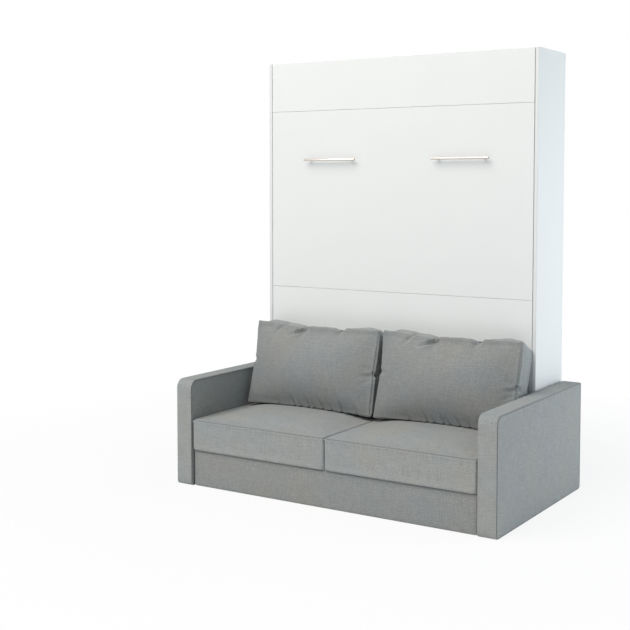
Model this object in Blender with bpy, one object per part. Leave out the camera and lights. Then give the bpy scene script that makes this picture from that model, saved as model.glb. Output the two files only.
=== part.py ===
"""Wall bed with a sofa in front of it.

An upright cabinet stands against the wall. The bed is folded up inside it, with three white panels
on its underside, which close the cabinet. In front stands a two seat sofa with loose cushions.
The bed comes down between the sofa's arms, over the seat, on two pivots near the floor.

Metres. +X is to the right as one faces the cabinet, +Y goes into the wall and +Z goes up.
The origin is on the floor, in the middle of the whole footprint.
"""
import math

import bmesh
import bpy
from mathutils import Vector

# Gaps that the pieces share
TOUCH = 0.0003
OVERRUN = 0.004

# Cabinet
CABINET_DEPTH = 0.350
TOP_CLEARANCE = 0.021
BOARD = 0.018
BOARD_EDGE = 0.0012
PLINTH_HEIGHT = 0.098
BOTTOM_BOARD_HEIGHT = 0.060
TOP_RAIL_HEIGHT = 0.120
MIDDLE_RAIL_HEIGHT = 0.100
MIDDLE_RAIL_DROP = 1.050
BOTTOM_RAIL_HEIGHT = 0.110

# White panels under the bed
SIDE_SHADOW_GAP = 0.003
PANEL_JOINT = 0.0035
PANEL_FOOT_GAP = 0.007
LOWER_JOINT_HEIGHT = 0.981
UPPER_JOINT_DROP = 0.2634
PANEL_HEAD_DROP = 0.002

# Bed pivots
PIVOT_HEIGHT = 0.414
PIVOT_BEHIND_PANEL = 0.012
PIVOT_PIN_RADIUS = 0.007
PIVOT_BORE_RADIUS = 0.0075
PIVOT_BOSS_RADIUS = 0.0110
PIVOT_PLATE = 0.002
PIVOT_PLATE_FRONT = 0.022
PIVOT_PLATE_BACK = 0.090
PIVOT_PLATE_HALF_HEIGHT = 0.080
PIVOT_PLATE_CORNER = 0.012
PIN_END_GAP = 0.0008
SLIDING_GAP = 0.0005

# Bed frame
MATTRESS_WIDTH = 1.400
MATTRESS_LENGTH = 2.000
MATTRESS_THICKNESS = 0.160
MATTRESS_HEAD = -0.253
MATTRESS_CORNER = 0.060
MATTRESS_EDGE = 0.018
FRAME_MARGIN = 0.020
FRAME_END_INSET = 0.0025
RAIL_WIDTH = 0.050
RAIL_DEPTH = 0.025
RAIL_EDGE = 0.002
BEAM_WIDTH = 0.040

# Slats on their webbing
SLAT_COUNT = 14
SLAT_WIDTH = 0.060
SLAT_THICKNESS = 0.008
SLAT_RISE = 0.004
SLAT_SIDE_INSET = 0.025
SLAT_END_MARGIN = 0.040
SLAT_HALF_STEPS = 4
WEBBING_WIDTH = 0.025
WEBBING_THICKNESS = 0.0012
WEBBING_OFFSET = 0.350

# Mattress strap
STRAP_PLACE = 0.620
STRAP_WIDTH = 0.040
STRAP_THICKNESS = 0.0015
STRAP_FOOT = 0.016

# Steel plates on the bed frame
STEEL_PLATE = 0.005
HINGE_PLATE_FRONT = 0.0115
HINGE_PLATE_BACK = 0.022
HINGE_PLATE_HEAD = 0.236
HINGE_PLATE_FOOT = 0.150
HINGE_LUG_BACK = 0.048
HINGE_LUG_TOP = 0.160
HINGE_LUG_ROOT = 0.060
HINGE_LUG_ROUND = 0.016
HINGE_CORNER = 0.003

# Gas springs
SPRING_MOUNT_BACK = 0.120
SPRING_MOUNT_UP = 0.490
SPRING_STUD_BACK = 0.030
SPRING_STUD_DOWN = 0.200
SPRING_STUD_RADIUS = 0.009
SPRING_STUD_LENGTH = 0.0122
SPRING_COLLAR_LENGTH = 0.0062
SPRING_EYE_RADIUS = 0.012
SPRING_EYE_WIDTH = 0.020
SPRING_PIN_RADIUS = 0.0045
SPRING_BORE_RADIUS = 0.0050
SPRING_HEAD_RADIUS = 0.0065
SPRING_HEAD = 0.0025
SPRING_COLLAR_RADIUS = 0.008
SPRING_NECK_RADIUS = 0.006
SPRING_NECK_TOP = 0.008
SPRING_NECK_END = 0.022
SPRING_SHOULDER = 0.005
CYLINDER_RADIUS = 0.011
CYLINDER_LENGTH = 0.410
CYLINDER_BORE_RADIUS = 0.0046
CYLINDER_BORE_TOP = 0.100
ROD_RADIUS = 0.004
ROD_HOLD = 0.030
ROD_FITTING_RADIUS = 0.010
MOUNT_PLATE = 0.003
MOUNT_PLATE_HALF_WIDTH = 0.028
MOUNT_PLATE_HALF_HEIGHT = 0.048
MOUNT_PLATE_CORNER = 0.008

# Folding leg frame
LEG_PIVOT_INSET = 0.0095
LEG_PIVOT_BACK = 0.080
LEG_SPACER_LENGTH = 0.0057
LEG_TUBE_RADIUS = 0.0125
LEG_CRANK = 0.068
LEG_BEND_RADIUS = 0.032
LEG_EYE_RADIUS = 0.016
LEG_EYE_WIDTH = 0.025
LEG_PIN_RADIUS = 0.006
LEG_BORE_RADIUS = 0.0065
LEG_HEAD_RADIUS = 0.009
LEG_HEAD = 0.003
LEG_SPACER_RADIUS = 0.010
LEG_FLOOR_GAP = 0.0005
LEG_OVER_MATTRESS = 0.004
LEG_BRACKET_ROOT = 0.130
LEG_BRACKET_TIP_RADIUS = 0.018
LEG_BRACKET_FRONT = 0.0105

# Bar handles
HANDLE_DROP = 0.2636
HANDLE_OFFSET = 0.3825
HANDLE_LENGTH = 0.316
HANDLE_RADIUS = 0.006
HANDLE_STANDOFF = 0.026
HANDLE_POST_SPACING = 0.256
HANDLE_POST_RADIUS = 0.005
HANDLE_CHAMFER = 0.0015

# Rubber buffers on the top board
BUFFER_GAP = 0.004
BUFFER_RADIUS = 0.006
BUFFER_OFFSET = 0.450

# Corner brackets that hold the cabinet to the wall
WALL_BRACKET_LEG = 0.050
WALL_BRACKET_STEEL = 0.003
WALL_BRACKET_DROP = 0.052
WALL_BRACKET_HEIGHT = 0.065
WALL_BRACKET_BEND = 0.005

# Sofa
SOFA_REACH = 0.685
ARM_THICKNESS = 0.100
ARM_HEIGHT = 0.544
ARM_CABINET_GAP = 0.008
ARM_FRONT_ROUND = 0.046
ARM_REAR_ROUND = 0.014
ARM_FOOT_ROUND = 0.012
ARM_PIPING_ROUND = 0.006
BASE_HEIGHT = 0.188
BASE_ARM_GAP = 0.015
BASE_SETBACK = 0.0157
BASE_FRONT_THICKNESS = 0.025
BASE_FRONT_ROUND = 0.005
ARM_SPACER_BACK = 0.080
ARM_SPACER_LENGTH = 0.420
ARM_SPACER_LOW = 0.045
ARM_SPACER_HEIGHT = 0.090

# Seat cushions
SEAT_SETBACK = 0.0035
SEAT_ARM_GAP = 0.0015
SEAT_SPLIT_GAP = 0.003
SEAT_BACK_GAP = 0.005
SEAT_BOXING = 0.153
SEAT_CROWN = 0.027
SEAT_CORNER = 0.022
SEAT_ROUND = 0.012
SEAT_DRAW = 0.003

# Back cushions
BACK_SLACK = 0.038
BACK_LEFT_ARM_GAP = 0.032
BACK_RIGHT_ARM_GAP = 0.019
BACK_CORNER = 0.022
BACK_FRONT_CROWN = 0.028
BACK_REAR_CROWN = 0.002
BACK_DRAW = 0.010
BACK_BAND_BULGE = 0.004
BACK_FOOT_FRONT = 0.240
BACK_FOOT_REAR = 0.085
BACK_HEAD_FRONT = 0.148
BACK_FRONT_RISE = 0.4157
BACK_REAR_RISE = 0.3677

# Where a back cushion lies while the bed is down, on the floor past the bed's foot
CUSHION_LANDING_GAP = 0.604
CUSHION_LANDING_HEIGHT = 0.105

# Numbers of steps round the curves
ROUND_STEPS = 24
SMALL_ROUND_STEPS = 16
CORNER_STEPS = 4
CUSHION_SIDE_STEPS = 6
CUSHION_CORNER_STEPS = 3

# Crowned face of a cushion, as shares of its outline and of its crown
CROWN_RING_SHARES = (0.965, 0.91, 0.82, 0.68, 0.48, 0.24)
SEAT_CROWN_POWER = 5
SEAT_FOOT_SHARES = ((1.0, 0.0), (0.25, 0.6))
BACK_CROWN_POWER = 3
REAR_RING_SHARES = (0.55, 0.92)
BAND_SHARES = (0.0, 0.30, 0.70, 1.0)

# Places that follow from the sizes above
REAR = (CABINET_DEPTH + SOFA_REACH) / 2
CABINET_FRONT = REAR - CABINET_DEPTH
SOFA_FRONT = REAR - CABINET_DEPTH - SOFA_REACH
MATTRESS_FOOT = MATTRESS_HEAD + MATTRESS_LENGTH
FRAME_HEAD = MATTRESS_HEAD + FRAME_END_INSET
FRAME_FOOT = MATTRESS_FOOT - FRAME_END_INSET
FRAME_HALF = MATTRESS_WIDTH / 2 + FRAME_MARGIN
HINGE_PLATE_OUT = FRAME_HALF + TOUCH + STEEL_PLATE
LEG_LINE = HINGE_PLATE_OUT + LEG_SPACER_LENGTH + SLIDING_GAP + LEG_EYE_WIDTH / 2
LEG_PIVOT_ALONG = FRAME_FOOT - LEG_PIVOT_INSET
SPRING_LINE = HINGE_PLATE_OUT + SPRING_STUD_LENGTH + SLIDING_GAP + SPRING_EYE_WIDTH / 2
SPRING_EYE_OUT = SPRING_LINE + SPRING_EYE_WIDTH / 2 + SLIDING_GAP
CABINET_INNER = SPRING_EYE_OUT + SPRING_COLLAR_LENGTH + MOUNT_PLATE + TOUCH
CABINET_HALF = CABINET_INNER + BOARD
TOP_BOARD_LOW = PIVOT_HEIGHT + MATTRESS_FOOT + TOP_CLEARANCE
CABINET_HEIGHT = TOP_BOARD_LOW + BOARD
PANEL_FOOT_HEIGHT = PLINTH_HEIGHT + PANEL_FOOT_GAP
UPPER_JOINT_HEIGHT = CABINET_HEIGHT - UPPER_JOINT_DROP
HANDLE_HEIGHT = UPPER_JOINT_HEIGHT - HANDLE_DROP
PIVOT_Y = CABINET_FRONT + BOARD + PIVOT_BEHIND_PANEL
PANEL_BACK = -PIVOT_BEHIND_PANEL
PANEL_FRONT = PANEL_BACK - BOARD
PANEL_HALF = CABINET_INNER - SIDE_SHADOW_GAP
SLAT_HALF_LENGTH = FRAME_HALF - SLAT_SIDE_INSET
RAIL_LOW = PANEL_BACK + TOUCH
RAIL_HIGH = RAIL_LOW + RAIL_DEPTH
SLAT_LOW = RAIL_HIGH + TOUCH
MATTRESS_LOW = SLAT_LOW + SLAT_THICKNESS + SLAT_RISE + TOUCH
MATTRESS_HIGH = MATTRESS_LOW + MATTRESS_THICKNESS
ARM_INNER = CABINET_HALF + ARM_CABINET_GAP
ARM_OUTER = ARM_INNER + ARM_THICKNESS
BASE_HALF = ARM_INNER - BASE_ARM_GAP
BASE_FRONT_Y = SOFA_FRONT + BASE_SETBACK
BASE_BACK_Y = CABINET_FRONT - TOUCH
SEAT_TOP = BASE_HEIGHT + TOUCH + SEAT_BOXING + SEAT_CROWN
BACK_WIDTH = ARM_INNER - BACK_SLACK
LEG_DROP = PIVOT_HEIGHT + LEG_PIVOT_BACK - LEG_TUBE_RADIUS - LEG_FLOOR_GAP
SIDES = (("left", -1), ("right", 1))


# Shape helpers

def loft(rings):
    """A solid through rings of points, capped at both ends."""
    shape = bmesh.new()
    loops = [[shape.verts.new(point) for point in ring] for ring in rings]
    count = len(loops[0])
    for near, far in zip(loops, loops[1:]):
        for i in range(count):
            j = (i + 1) % count
            shape.faces.new((near[i], near[j], far[j], far[i]))
    shape.faces.new(loops[0])
    shape.faces.new(loops[-1])
    bmesh.ops.recalc_face_normals(shape, faces=shape.faces)
    return shape


def turned(profile, place, steps=ROUND_STEPS):
    """A turned solid from (radius, distance along the axis) pairs."""
    rings = []
    for radius, along in profile:
        ring = []
        for i in range(steps):
            angle = math.tau * i / steps
            ring.append(place(radius * math.cos(angle), radius * math.sin(angle), along))
        rings.append(ring)
    return loft(rings)


def across(y, z):
    """Places a turned piece whose axis runs along X through (y, z)."""
    return lambda u, v, along: Vector((along, y + u, z + v))


def inward(x, y, z):
    """Places a turned piece whose axis runs along Y from (x, y, z)."""
    return lambda u, v, along: Vector((x + u, y + along, z + v))


def hanging(u, v, along):
    """Places a turned piece that hangs down from its own origin."""
    return Vector((u, v, -along))


def rounded(corners, steps=CORNER_STEPS):
    """An outline with a fillet at each corner, from (point, radius) pairs."""
    points = []
    count = len(corners)
    for i, (corner, radius) in enumerate(corners):
        here = Vector(corner)
        if radius == 0:
            points.append(here)
            continue
        before = (Vector(corners[i - 1][0]) - here).normalized()
        after = (Vector(corners[(i + 1) % count][0]) - here).normalized()
        half_angle = before.angle(after) / 2
        reach = radius / math.tan(half_angle)
        centre = here + (before + after).normalized() * (radius / math.sin(half_angle))
        start = here + before * reach - centre
        end = here + after * reach - centre
        turn = start.angle_signed(end)
        for step in range(steps + 1):
            angle = -turn * step / steps
            swung = Vector((start.x * math.cos(angle) - start.y * math.sin(angle),
                            start.x * math.sin(angle) + start.y * math.cos(angle)))
            points.append(centre + swung)
    return points


def extruded(outline, low, high, place):
    """A plate: an outline pushed out from low to high, placed by a function of (u, v, depth)."""
    shape = bmesh.new()
    face = shape.faces.new([shape.verts.new(place(u, v, low)) for u, v in outline])
    pushed = bmesh.ops.extrude_face_region(shape, geom=[face])
    depth = place(0, 0, high) - place(0, 0, low)
    corners = [item for item in pushed["geom"] if isinstance(item, bmesh.types.BMVert)]
    bmesh.ops.translate(shape, verts=corners, vec=depth)
    bmesh.ops.recalc_face_normals(shape, faces=shape.faces)
    return shape


def side_plate(u, v, depth):
    """Places an outline drawn in (Y, Z) with its depth along X."""
    return Vector((depth, u, v))


def flat_plate(u, v, depth):
    """Places an outline drawn in (X, Y) with its depth along Z."""
    return Vector((u, v, depth))


def upright_plate(u, v, depth):
    """Places an outline drawn in (X, Z) with its depth along Y."""
    return Vector((u, depth, v))


def add_piece(name, shape, material, carrier=None, smooth=False):
    """Turns a shape into a named object, held by its carrier."""
    mesh = bpy.data.meshes.new(name)
    shape.to_mesh(mesh)
    shape.free()
    mesh.materials.append(material)
    if smooth:
        mesh.shade_smooth()
        mesh.set_sharp_from_angle(angle=math.radians(35))
    piece = bpy.data.objects.new(name, mesh)
    bpy.context.scene.collection.objects.link(piece)
    piece.parent = carrier
    return piece


def add_axis(name, location, carrier=None, tilt=0):
    """An empty on a joint's axis, which carries what turns there."""
    axis = bpy.data.objects.new(name, None)
    bpy.context.scene.collection.objects.link(axis)
    axis.location = location
    axis.rotation_euler = (tilt, 0, 0)
    axis.parent = carrier
    return axis


def add_board(name, low, high, material, carrier=None, edge=BOARD_EDGE):
    """A board or bar between two corners, with its edges broken."""
    shape = bmesh.new()
    bmesh.ops.create_cube(shape, size=1)
    low = Vector(low)
    size = Vector(high) - low
    bmesh.ops.scale(shape, vec=size, verts=shape.verts)
    bmesh.ops.translate(shape, vec=low + size / 2, verts=shape.verts)
    piece = add_piece(name, shape, material, carrier)
    break_edges(piece, edge)
    return piece


def break_edges(piece, width, segments=1, angle=math.radians(60)):
    """A bevel on every edge that is sharper than the angle."""
    bevel = piece.modifiers.new("Edges", 'BEVEL')
    bevel.width = width
    bevel.segments = segments
    bevel.limit_method = 'ANGLE'
    bevel.angle_limit = angle


def combine(piece, shape, operation):
    """Joins a shape to a piece, or cuts it out, with a hidden helper object."""
    helper = add_piece(piece.name + "_" + operation.lower(), shape, piece.data.materials[0], piece.parent)
    helper.hide_render = True
    helper.display_type = 'WIRE'
    step = piece.modifiers.new(operation.title(), 'BOOLEAN')
    step.operation = operation
    step.solver = 'EXACT'
    step.object = helper


def make_material(name, colour, roughness, metallic=0.0):
    """A plain surface: its colour, roughness and metallic value."""
    material = bpy.data.materials.new(name)
    material.use_nodes = True
    surface = material.node_tree.nodes["Principled BSDF"]
    surface.inputs["Base Color"].default_value = (*colour, 1)
    surface.inputs["Roughness"].default_value = roughness
    surface.inputs["Metallic"].default_value = metallic
    return material


def make_materials():
    """The finishes, with colours in linear light."""
    return {
        "white_board": make_material("white_board", (0.84, 0.86, 0.86), 0.45),
        "carcass_board": make_material("carcass_board", (0.78, 0.81, 0.83), 0.5),
        "grey_fabric": make_material("grey_fabric", (0.31, 0.32, 0.31), 0.95),
        "bed_steel": make_material("bed_steel", (0.42, 0.43, 0.44), 0.45, 0.6),
        "zinc_steel": make_material("zinc_steel", (0.55, 0.56, 0.57), 0.35, 1.0),
        "spring_black": make_material("spring_black", (0.02, 0.02, 0.022), 0.4),
        "spring_rod": make_material("spring_rod", (0.65, 0.66, 0.67), 0.15, 1.0),
        "handle_steel": make_material("handle_steel", (0.62, 0.62, 0.62), 0.3, 1.0),
        "birch_slat": make_material("birch_slat", (0.68, 0.50, 0.30), 0.55),
        "sofa_board": make_material("sofa_board", (0.52, 0.38, 0.23), 0.7),
        "mattress_ticking": make_material("mattress_ticking", (0.80, 0.79, 0.76), 0.9),
        "strap_webbing": make_material("strap_webbing", (0.03, 0.03, 0.035), 0.85),
        "buffer_rubber": make_material("buffer_rubber", (0.03, 0.03, 0.03), 0.8),
    }


# Cabinet

def make_cabinet(finish):
    """Sides, top, bottom, plinth and the rails that are screwed to the wall."""
    board = finish["carcass_board"]
    for name, side in SIDES:
        inner, outer = sorted((side * CABINET_INNER, side * CABINET_HALF))
        add_board("side_panel_" + name, (inner, CABINET_FRONT, 0), (outer, REAR, CABINET_HEIGHT), board)
    half = CABINET_INNER - TOUCH
    top_front = PIVOT_Y + PANEL_BACK + BUFFER_GAP
    add_board("top_board", (-half, top_front, TOP_BOARD_LOW), (half, REAR, CABINET_HEIGHT), board)
    plinth_back = CABINET_FRONT + BOARD
    add_board("plinth_board", (-half, CABINET_FRONT, 0), (half, plinth_back, PLINTH_HEIGHT), board)
    bottom_corner = (-half, plinth_back + TOUCH, BOTTOM_BOARD_HEIGHT - BOARD)
    add_board("bottom_board", bottom_corner, (half, REAR, BOTTOM_BOARD_HEIGHT), board)
    middle_low = CABINET_HEIGHT - MIDDLE_RAIL_DROP - MIDDLE_RAIL_HEIGHT / 2
    rails = (
        ("rear_rail_top", TOP_BOARD_LOW - TOUCH - TOP_RAIL_HEIGHT, TOP_RAIL_HEIGHT),
        ("rear_rail_middle", middle_low, MIDDLE_RAIL_HEIGHT),
        ("rear_rail_bottom", BOTTOM_BOARD_HEIGHT + TOUCH, BOTTOM_RAIL_HEIGHT),
    )
    for name, low, height in rails:
        add_board(name, (-half, REAR - BOARD, low), (half, REAR, low + height), board)


def make_buffers(finish):
    """Rubber discs on the top board's edge, which the closed bed rests against."""
    front = PANEL_BACK + TOUCH
    back = PANEL_BACK + BUFFER_GAP - TOUCH
    height = CABINET_HEIGHT - BOARD / 2
    for name, side in SIDES:
        place = inward(side * BUFFER_OFFSET, PIVOT_Y, height)
        shape = turned([(BUFFER_RADIUS, front), (BUFFER_RADIUS, back)], place, SMALL_ROUND_STEPS)
        add_piece("buffer_" + name, shape, finish["buffer_rubber"], smooth=True)


def make_wall_brackets(finish):
    """Steel angles in the upper corners, between the side, the top rail and the wall."""
    wall_face = REAR - BOARD - TOUCH
    high = TOP_BOARD_LOW - WALL_BRACKET_DROP
    for name, side in SIDES:
        corner = side * (CABINET_INNER - TOUCH)
        rail_end = corner - side * WALL_BRACKET_LEG
        step_in = corner - side * WALL_BRACKET_STEEL
        near = wall_face - WALL_BRACKET_LEG
        face = wall_face - WALL_BRACKET_STEEL
        outline = rounded([
            ((corner, wall_face), 0),
            ((corner, near), 0),
            ((step_in, near), 0),
            ((step_in, face), WALL_BRACKET_BEND),
            ((rail_end, face), 0),
            ((rail_end, wall_face), 0),
        ])
        shape = extruded(outline, high - WALL_BRACKET_HEIGHT, high, flat_plate)
        add_piece("wall_bracket_" + name, shape, finish["zinc_steel"])


def make_pivot_brackets(finish):
    """A plate on each cabinet side with the boss and pin that the bed turns on."""
    outer = CABINET_INNER - TOUCH
    plate_face = outer - PIVOT_PLATE
    low = PIVOT_HEIGHT - PIVOT_PLATE_HALF_HEIGHT
    high = PIVOT_HEIGHT + PIVOT_PLATE_HALF_HEIGHT
    front = PIVOT_Y - PIVOT_PLATE_FRONT
    back = PIVOT_Y + PIVOT_PLATE_BACK
    outline = rounded([((y, z), PIVOT_PLATE_CORNER) for y, z in
                       ((front, low), (back, low), (back, high), (front, high))])
    boss_end = HINGE_PLATE_OUT + SLIDING_GAP
    pin_end = FRAME_HALF + PIN_END_GAP
    plate_middle = plate_face + PIVOT_PLATE / 2
    for name, side in SIDES:
        shape = extruded(outline, side * plate_face, side * outer, side_plate)
        bracket = add_piece("pivot_bracket_" + name, shape, finish["zinc_steel"])
        profile = [
            (PIVOT_BOSS_RADIUS, side * plate_middle),
            (PIVOT_BOSS_RADIUS, side * boss_end),
            (PIVOT_PIN_RADIUS, side * boss_end),
            (PIVOT_PIN_RADIUS, side * pin_end),
        ]
        combine(bracket, turned(profile, across(PIVOT_Y, PIVOT_HEIGHT)), 'UNION')


def make_spring_mounts(finish):
    """A plate on each cabinet side with the stud that holds the gas spring's upper eye."""
    outer = CABINET_INNER - TOUCH
    plate_face = outer - MOUNT_PLATE
    y = PIVOT_Y + SPRING_MOUNT_BACK
    z = PIVOT_HEIGHT + SPRING_MOUNT_UP
    corners = []
    for u, v in ((-1, -1), (1, -1), (1, 1), (-1, 1)):
        corner = (y + u * MOUNT_PLATE_HALF_WIDTH, z + v * MOUNT_PLATE_HALF_HEIGHT)
        corners.append((corner, MOUNT_PLATE_CORNER))
    outline = rounded(corners)
    eye_inner = SPRING_LINE - SPRING_EYE_WIDTH / 2 - SLIDING_GAP
    for name, side in SIDES:
        shape = extruded(outline, side * plate_face, side * outer, side_plate)
        mount = add_piece("spring_mount_" + name, shape, finish["zinc_steel"])
        profile = [
            (SPRING_COLLAR_RADIUS, side * (plate_face + MOUNT_PLATE / 2)),
            (SPRING_COLLAR_RADIUS, side * SPRING_EYE_OUT),
            (SPRING_PIN_RADIUS, side * SPRING_EYE_OUT),
            (SPRING_PIN_RADIUS, side * eye_inner),
            (SPRING_HEAD_RADIUS, side * eye_inner),
            (SPRING_HEAD_RADIUS, side * (eye_inner - SPRING_HEAD)),
        ]
        combine(mount, turned(profile, across(y, z)), 'UNION')


# Bed, drawn about its pivot: Y is the height over the pivot and Z runs to the bed's foot

def make_front_panels(finish, bed):
    """Three white panels, screwed under the bed frame."""
    top = CABINET_HEIGHT - PANEL_HEAD_DROP
    spans = (
        ("front_panel_bottom", PANEL_FOOT_HEIGHT, LOWER_JOINT_HEIGHT - PANEL_JOINT / 2),
        ("front_panel_middle", LOWER_JOINT_HEIGHT + PANEL_JOINT / 2, UPPER_JOINT_HEIGHT - PANEL_JOINT / 2),
        ("front_panel_top", UPPER_JOINT_HEIGHT + PANEL_JOINT / 2, top),
    )
    for name, low, high in spans:
        low_corner = (-PANEL_HALF, PANEL_FRONT, low - PIVOT_HEIGHT)
        high_corner = (PANEL_HALF, PANEL_BACK, high - PIVOT_HEIGHT)
        add_board(name, low_corner, high_corner, finish["white_board"], bed)


def make_bed_frame(finish, bed):
    """Welded frame of flat tubes: two side rails, head and foot rails and a middle beam."""
    steel = finish["bed_steel"]
    inner = FRAME_HALF - RAIL_WIDTH
    for name, side in SIDES:
        near, far = sorted((side * inner, side * FRAME_HALF))
        low = (near, RAIL_LOW, FRAME_HEAD)
        high = (far, RAIL_HIGH, FRAME_FOOT)
        add_board("bed_rail_" + name, low, high, steel, bed, RAIL_EDGE)
    reach = inner - TOUCH
    head_end = FRAME_HEAD + RAIL_WIDTH
    foot_end = FRAME_FOOT - RAIL_WIDTH
    for name, near, far in (("head_rail", FRAME_HEAD, head_end), ("foot_rail", foot_end, FRAME_FOOT)):
        add_board(name, (-reach, RAIL_LOW, near), (reach, RAIL_HIGH, far), steel, bed, RAIL_EDGE)
    beam_half = BEAM_WIDTH / 2
    low = (-beam_half, RAIL_LOW, head_end + TOUCH)
    high = (beam_half, RAIL_HIGH, foot_end - TOUCH)
    add_board("centre_beam", low, high, steel, bed, RAIL_EDGE)


def slat_rise(x):
    """How far a bowed slat stands above its ends."""
    share = x / SLAT_HALF_LENGTH
    return SLAT_RISE * (1 - share * share)


def make_slats(finish, bed):
    """Bowed birch slats, joined in one row by two webbing bands."""
    first = FRAME_HEAD + SLAT_END_MARGIN
    last = FRAME_FOOT - SLAT_END_MARGIN - SLAT_WIDTH
    pitch = (last - first) / (SLAT_COUNT - 1)
    row = bmesh.new()
    for index in range(SLAT_COUNT):
        start = first + index * pitch
        rings = []
        for step in range(2 * SLAT_HALF_STEPS + 1):
            x = SLAT_HALF_LENGTH * (step / SLAT_HALF_STEPS - 1)
            low = SLAT_LOW + slat_rise(x)
            high = low + SLAT_THICKNESS
            end = start + SLAT_WIDTH
            rings.append([(x, low, start), (x, high, start), (x, high, end), (x, low, end)])
        slat = loft(rings)
        mesh = bpy.data.meshes.new("slat")
        slat.to_mesh(mesh)
        slat.free()
        row.from_mesh(mesh)
        bpy.data.meshes.remove(mesh)
    slats = add_piece("slat_bank", row, finish["birch_slat"], bed)
    for side in (-1, 1):
        centre = side * WEBBING_OFFSET
        half = WEBBING_WIDTH / 2
        level = SLAT_LOW + SLAT_THICKNESS + slat_rise(centre)
        low = level - WEBBING_THICKNESS / 2
        high = level + WEBBING_THICKNESS / 2
        outline = ((centre - half, low), (centre + half, low), (centre + half, high), (centre - half, high))
        band = extruded(outline, first + SLAT_WIDTH / 2, last + SLAT_WIDTH / 2, flat_plate)
        combine(slats, band, 'UNION')


def make_mattress(finish, bed):
    """Foam mattress with rounded corners and soft edges."""
    half = MATTRESS_WIDTH / 2
    corners = ((-half, MATTRESS_HEAD), (half, MATTRESS_HEAD), (half, MATTRESS_FOOT), (-half, MATTRESS_FOOT))
    outline = rounded([(corner, MATTRESS_CORNER) for corner in corners])
    shape = extruded(outline, MATTRESS_LOW, MATTRESS_HIGH, upright_plate)
    mattress = add_piece("mattress", shape, finish["mattress_ticking"], bed)
    break_edges(mattress, MATTRESS_EDGE, segments=3)


def make_strap(finish, bed):
    """Webbing strap from rail to rail over the mattress, which holds it while the bed is up."""
    inside = MATTRESS_WIDTH / 2 + TOUCH
    outside = inside + STRAP_THICKNESS
    top = MATTRESS_HIGH + TOUCH
    foot = RAIL_HIGH + TOUCH
    outer = [
        (-outside - STRAP_FOOT, foot), (-inside, foot), (-inside, top), (inside, top), (inside, foot),
        (outside + STRAP_FOOT, foot), (outside + STRAP_FOOT, foot + STRAP_THICKNESS),
        (outside, foot + STRAP_THICKNESS), (outside, top + STRAP_THICKNESS),
        (-outside, top + STRAP_THICKNESS), (-outside, foot + STRAP_THICKNESS),
        (-outside - STRAP_FOOT, foot + STRAP_THICKNESS),
    ]
    half = STRAP_WIDTH / 2
    shape = extruded(outer, STRAP_PLACE - half, STRAP_PLACE + half, flat_plate)
    add_piece("mattress_strap", shape, finish["strap_webbing"], bed)


def make_hinge_plates(finish, bed):
    """Steel plates on the frame's sides, with the pivot bore and the gas spring's lower stud."""
    outline = rounded([
        ((-HINGE_PLATE_FRONT, -HINGE_PLATE_HEAD), HINGE_CORNER),
        ((HINGE_LUG_BACK, -HINGE_PLATE_HEAD), HINGE_LUG_ROUND),
        ((HINGE_LUG_BACK, -HINGE_LUG_TOP), HINGE_LUG_ROUND),
        ((HINGE_PLATE_BACK, -HINGE_LUG_ROOT), HINGE_LUG_ROUND),
        ((HINGE_PLATE_BACK, HINGE_PLATE_FOOT), HINGE_LUG_ROUND),
        ((-HINGE_PLATE_FRONT, HINGE_PLATE_FOOT), HINGE_CORNER),
    ])
    inner = FRAME_HALF + TOUCH
    middle = (inner + HINGE_PLATE_OUT) / 2
    stud_end = HINGE_PLATE_OUT + SPRING_STUD_LENGTH
    for name, side in SIDES:
        shape = extruded(outline, side * inner, side * HINGE_PLATE_OUT, side_plate)
        plate = add_piece("hinge_plate_" + name, shape, finish["zinc_steel"], bed)
        stud = [(SPRING_STUD_RADIUS, side * middle), (SPRING_STUD_RADIUS, side * stud_end)]
        combine(plate, turned(stud, across(SPRING_STUD_BACK, -SPRING_STUD_DOWN)), 'UNION')
        bore_ends = (side * (inner - OVERRUN), side * (HINGE_PLATE_OUT + OVERRUN))
        bore = turned([(PIVOT_BORE_RADIUS, end) for end in bore_ends], across(0, 0))
        combine(plate, bore, 'DIFFERENCE')


def make_handles(finish, bed):
    """Two bar handles, each on two posts."""
    height = HANDLE_HEIGHT - PIVOT_HEIGHT
    bar_line = PANEL_FRONT - HANDLE_STANDOFF
    half = HANDLE_LENGTH / 2
    steel = finish["handle_steel"]
    for name, side in SIDES:
        centre = side * HANDLE_OFFSET
        profile = [
            (HANDLE_RADIUS - HANDLE_CHAMFER, centre - half),
            (HANDLE_RADIUS, centre - half + HANDLE_CHAMFER),
            (HANDLE_RADIUS, centre + half - HANDLE_CHAMFER),
            (HANDLE_RADIUS - HANDLE_CHAMFER, centre + half),
        ]
        bar = turned(profile, across(bar_line, height), SMALL_ROUND_STEPS)
        add_piece("handle_bar_" + name, bar, steel, bed, smooth=True)
        for end, post_side in (("inner", -side), ("outer", side)):
            x = centre + post_side * HANDLE_POST_SPACING / 2
            post = turned([(HANDLE_POST_RADIUS, -TOUCH), (HANDLE_POST_RADIUS, -HANDLE_STANDOFF)],
                          inward(x, PANEL_FRONT, height), SMALL_ROUND_STEPS)
            piece = add_piece("handle_post_" + name + "_" + end, post, steel, bed, smooth=True)
            seat_ends = (x - HANDLE_POST_RADIUS - OVERRUN, x + HANDLE_POST_RADIUS + OVERRUN)
            seat = turned([(HANDLE_RADIUS + TOUCH, seat_end) for seat_end in seat_ends],
                          across(bar_line, height), SMALL_ROUND_STEPS)
            combine(piece, seat, 'DIFFERENCE')


# Folding leg frame

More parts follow.
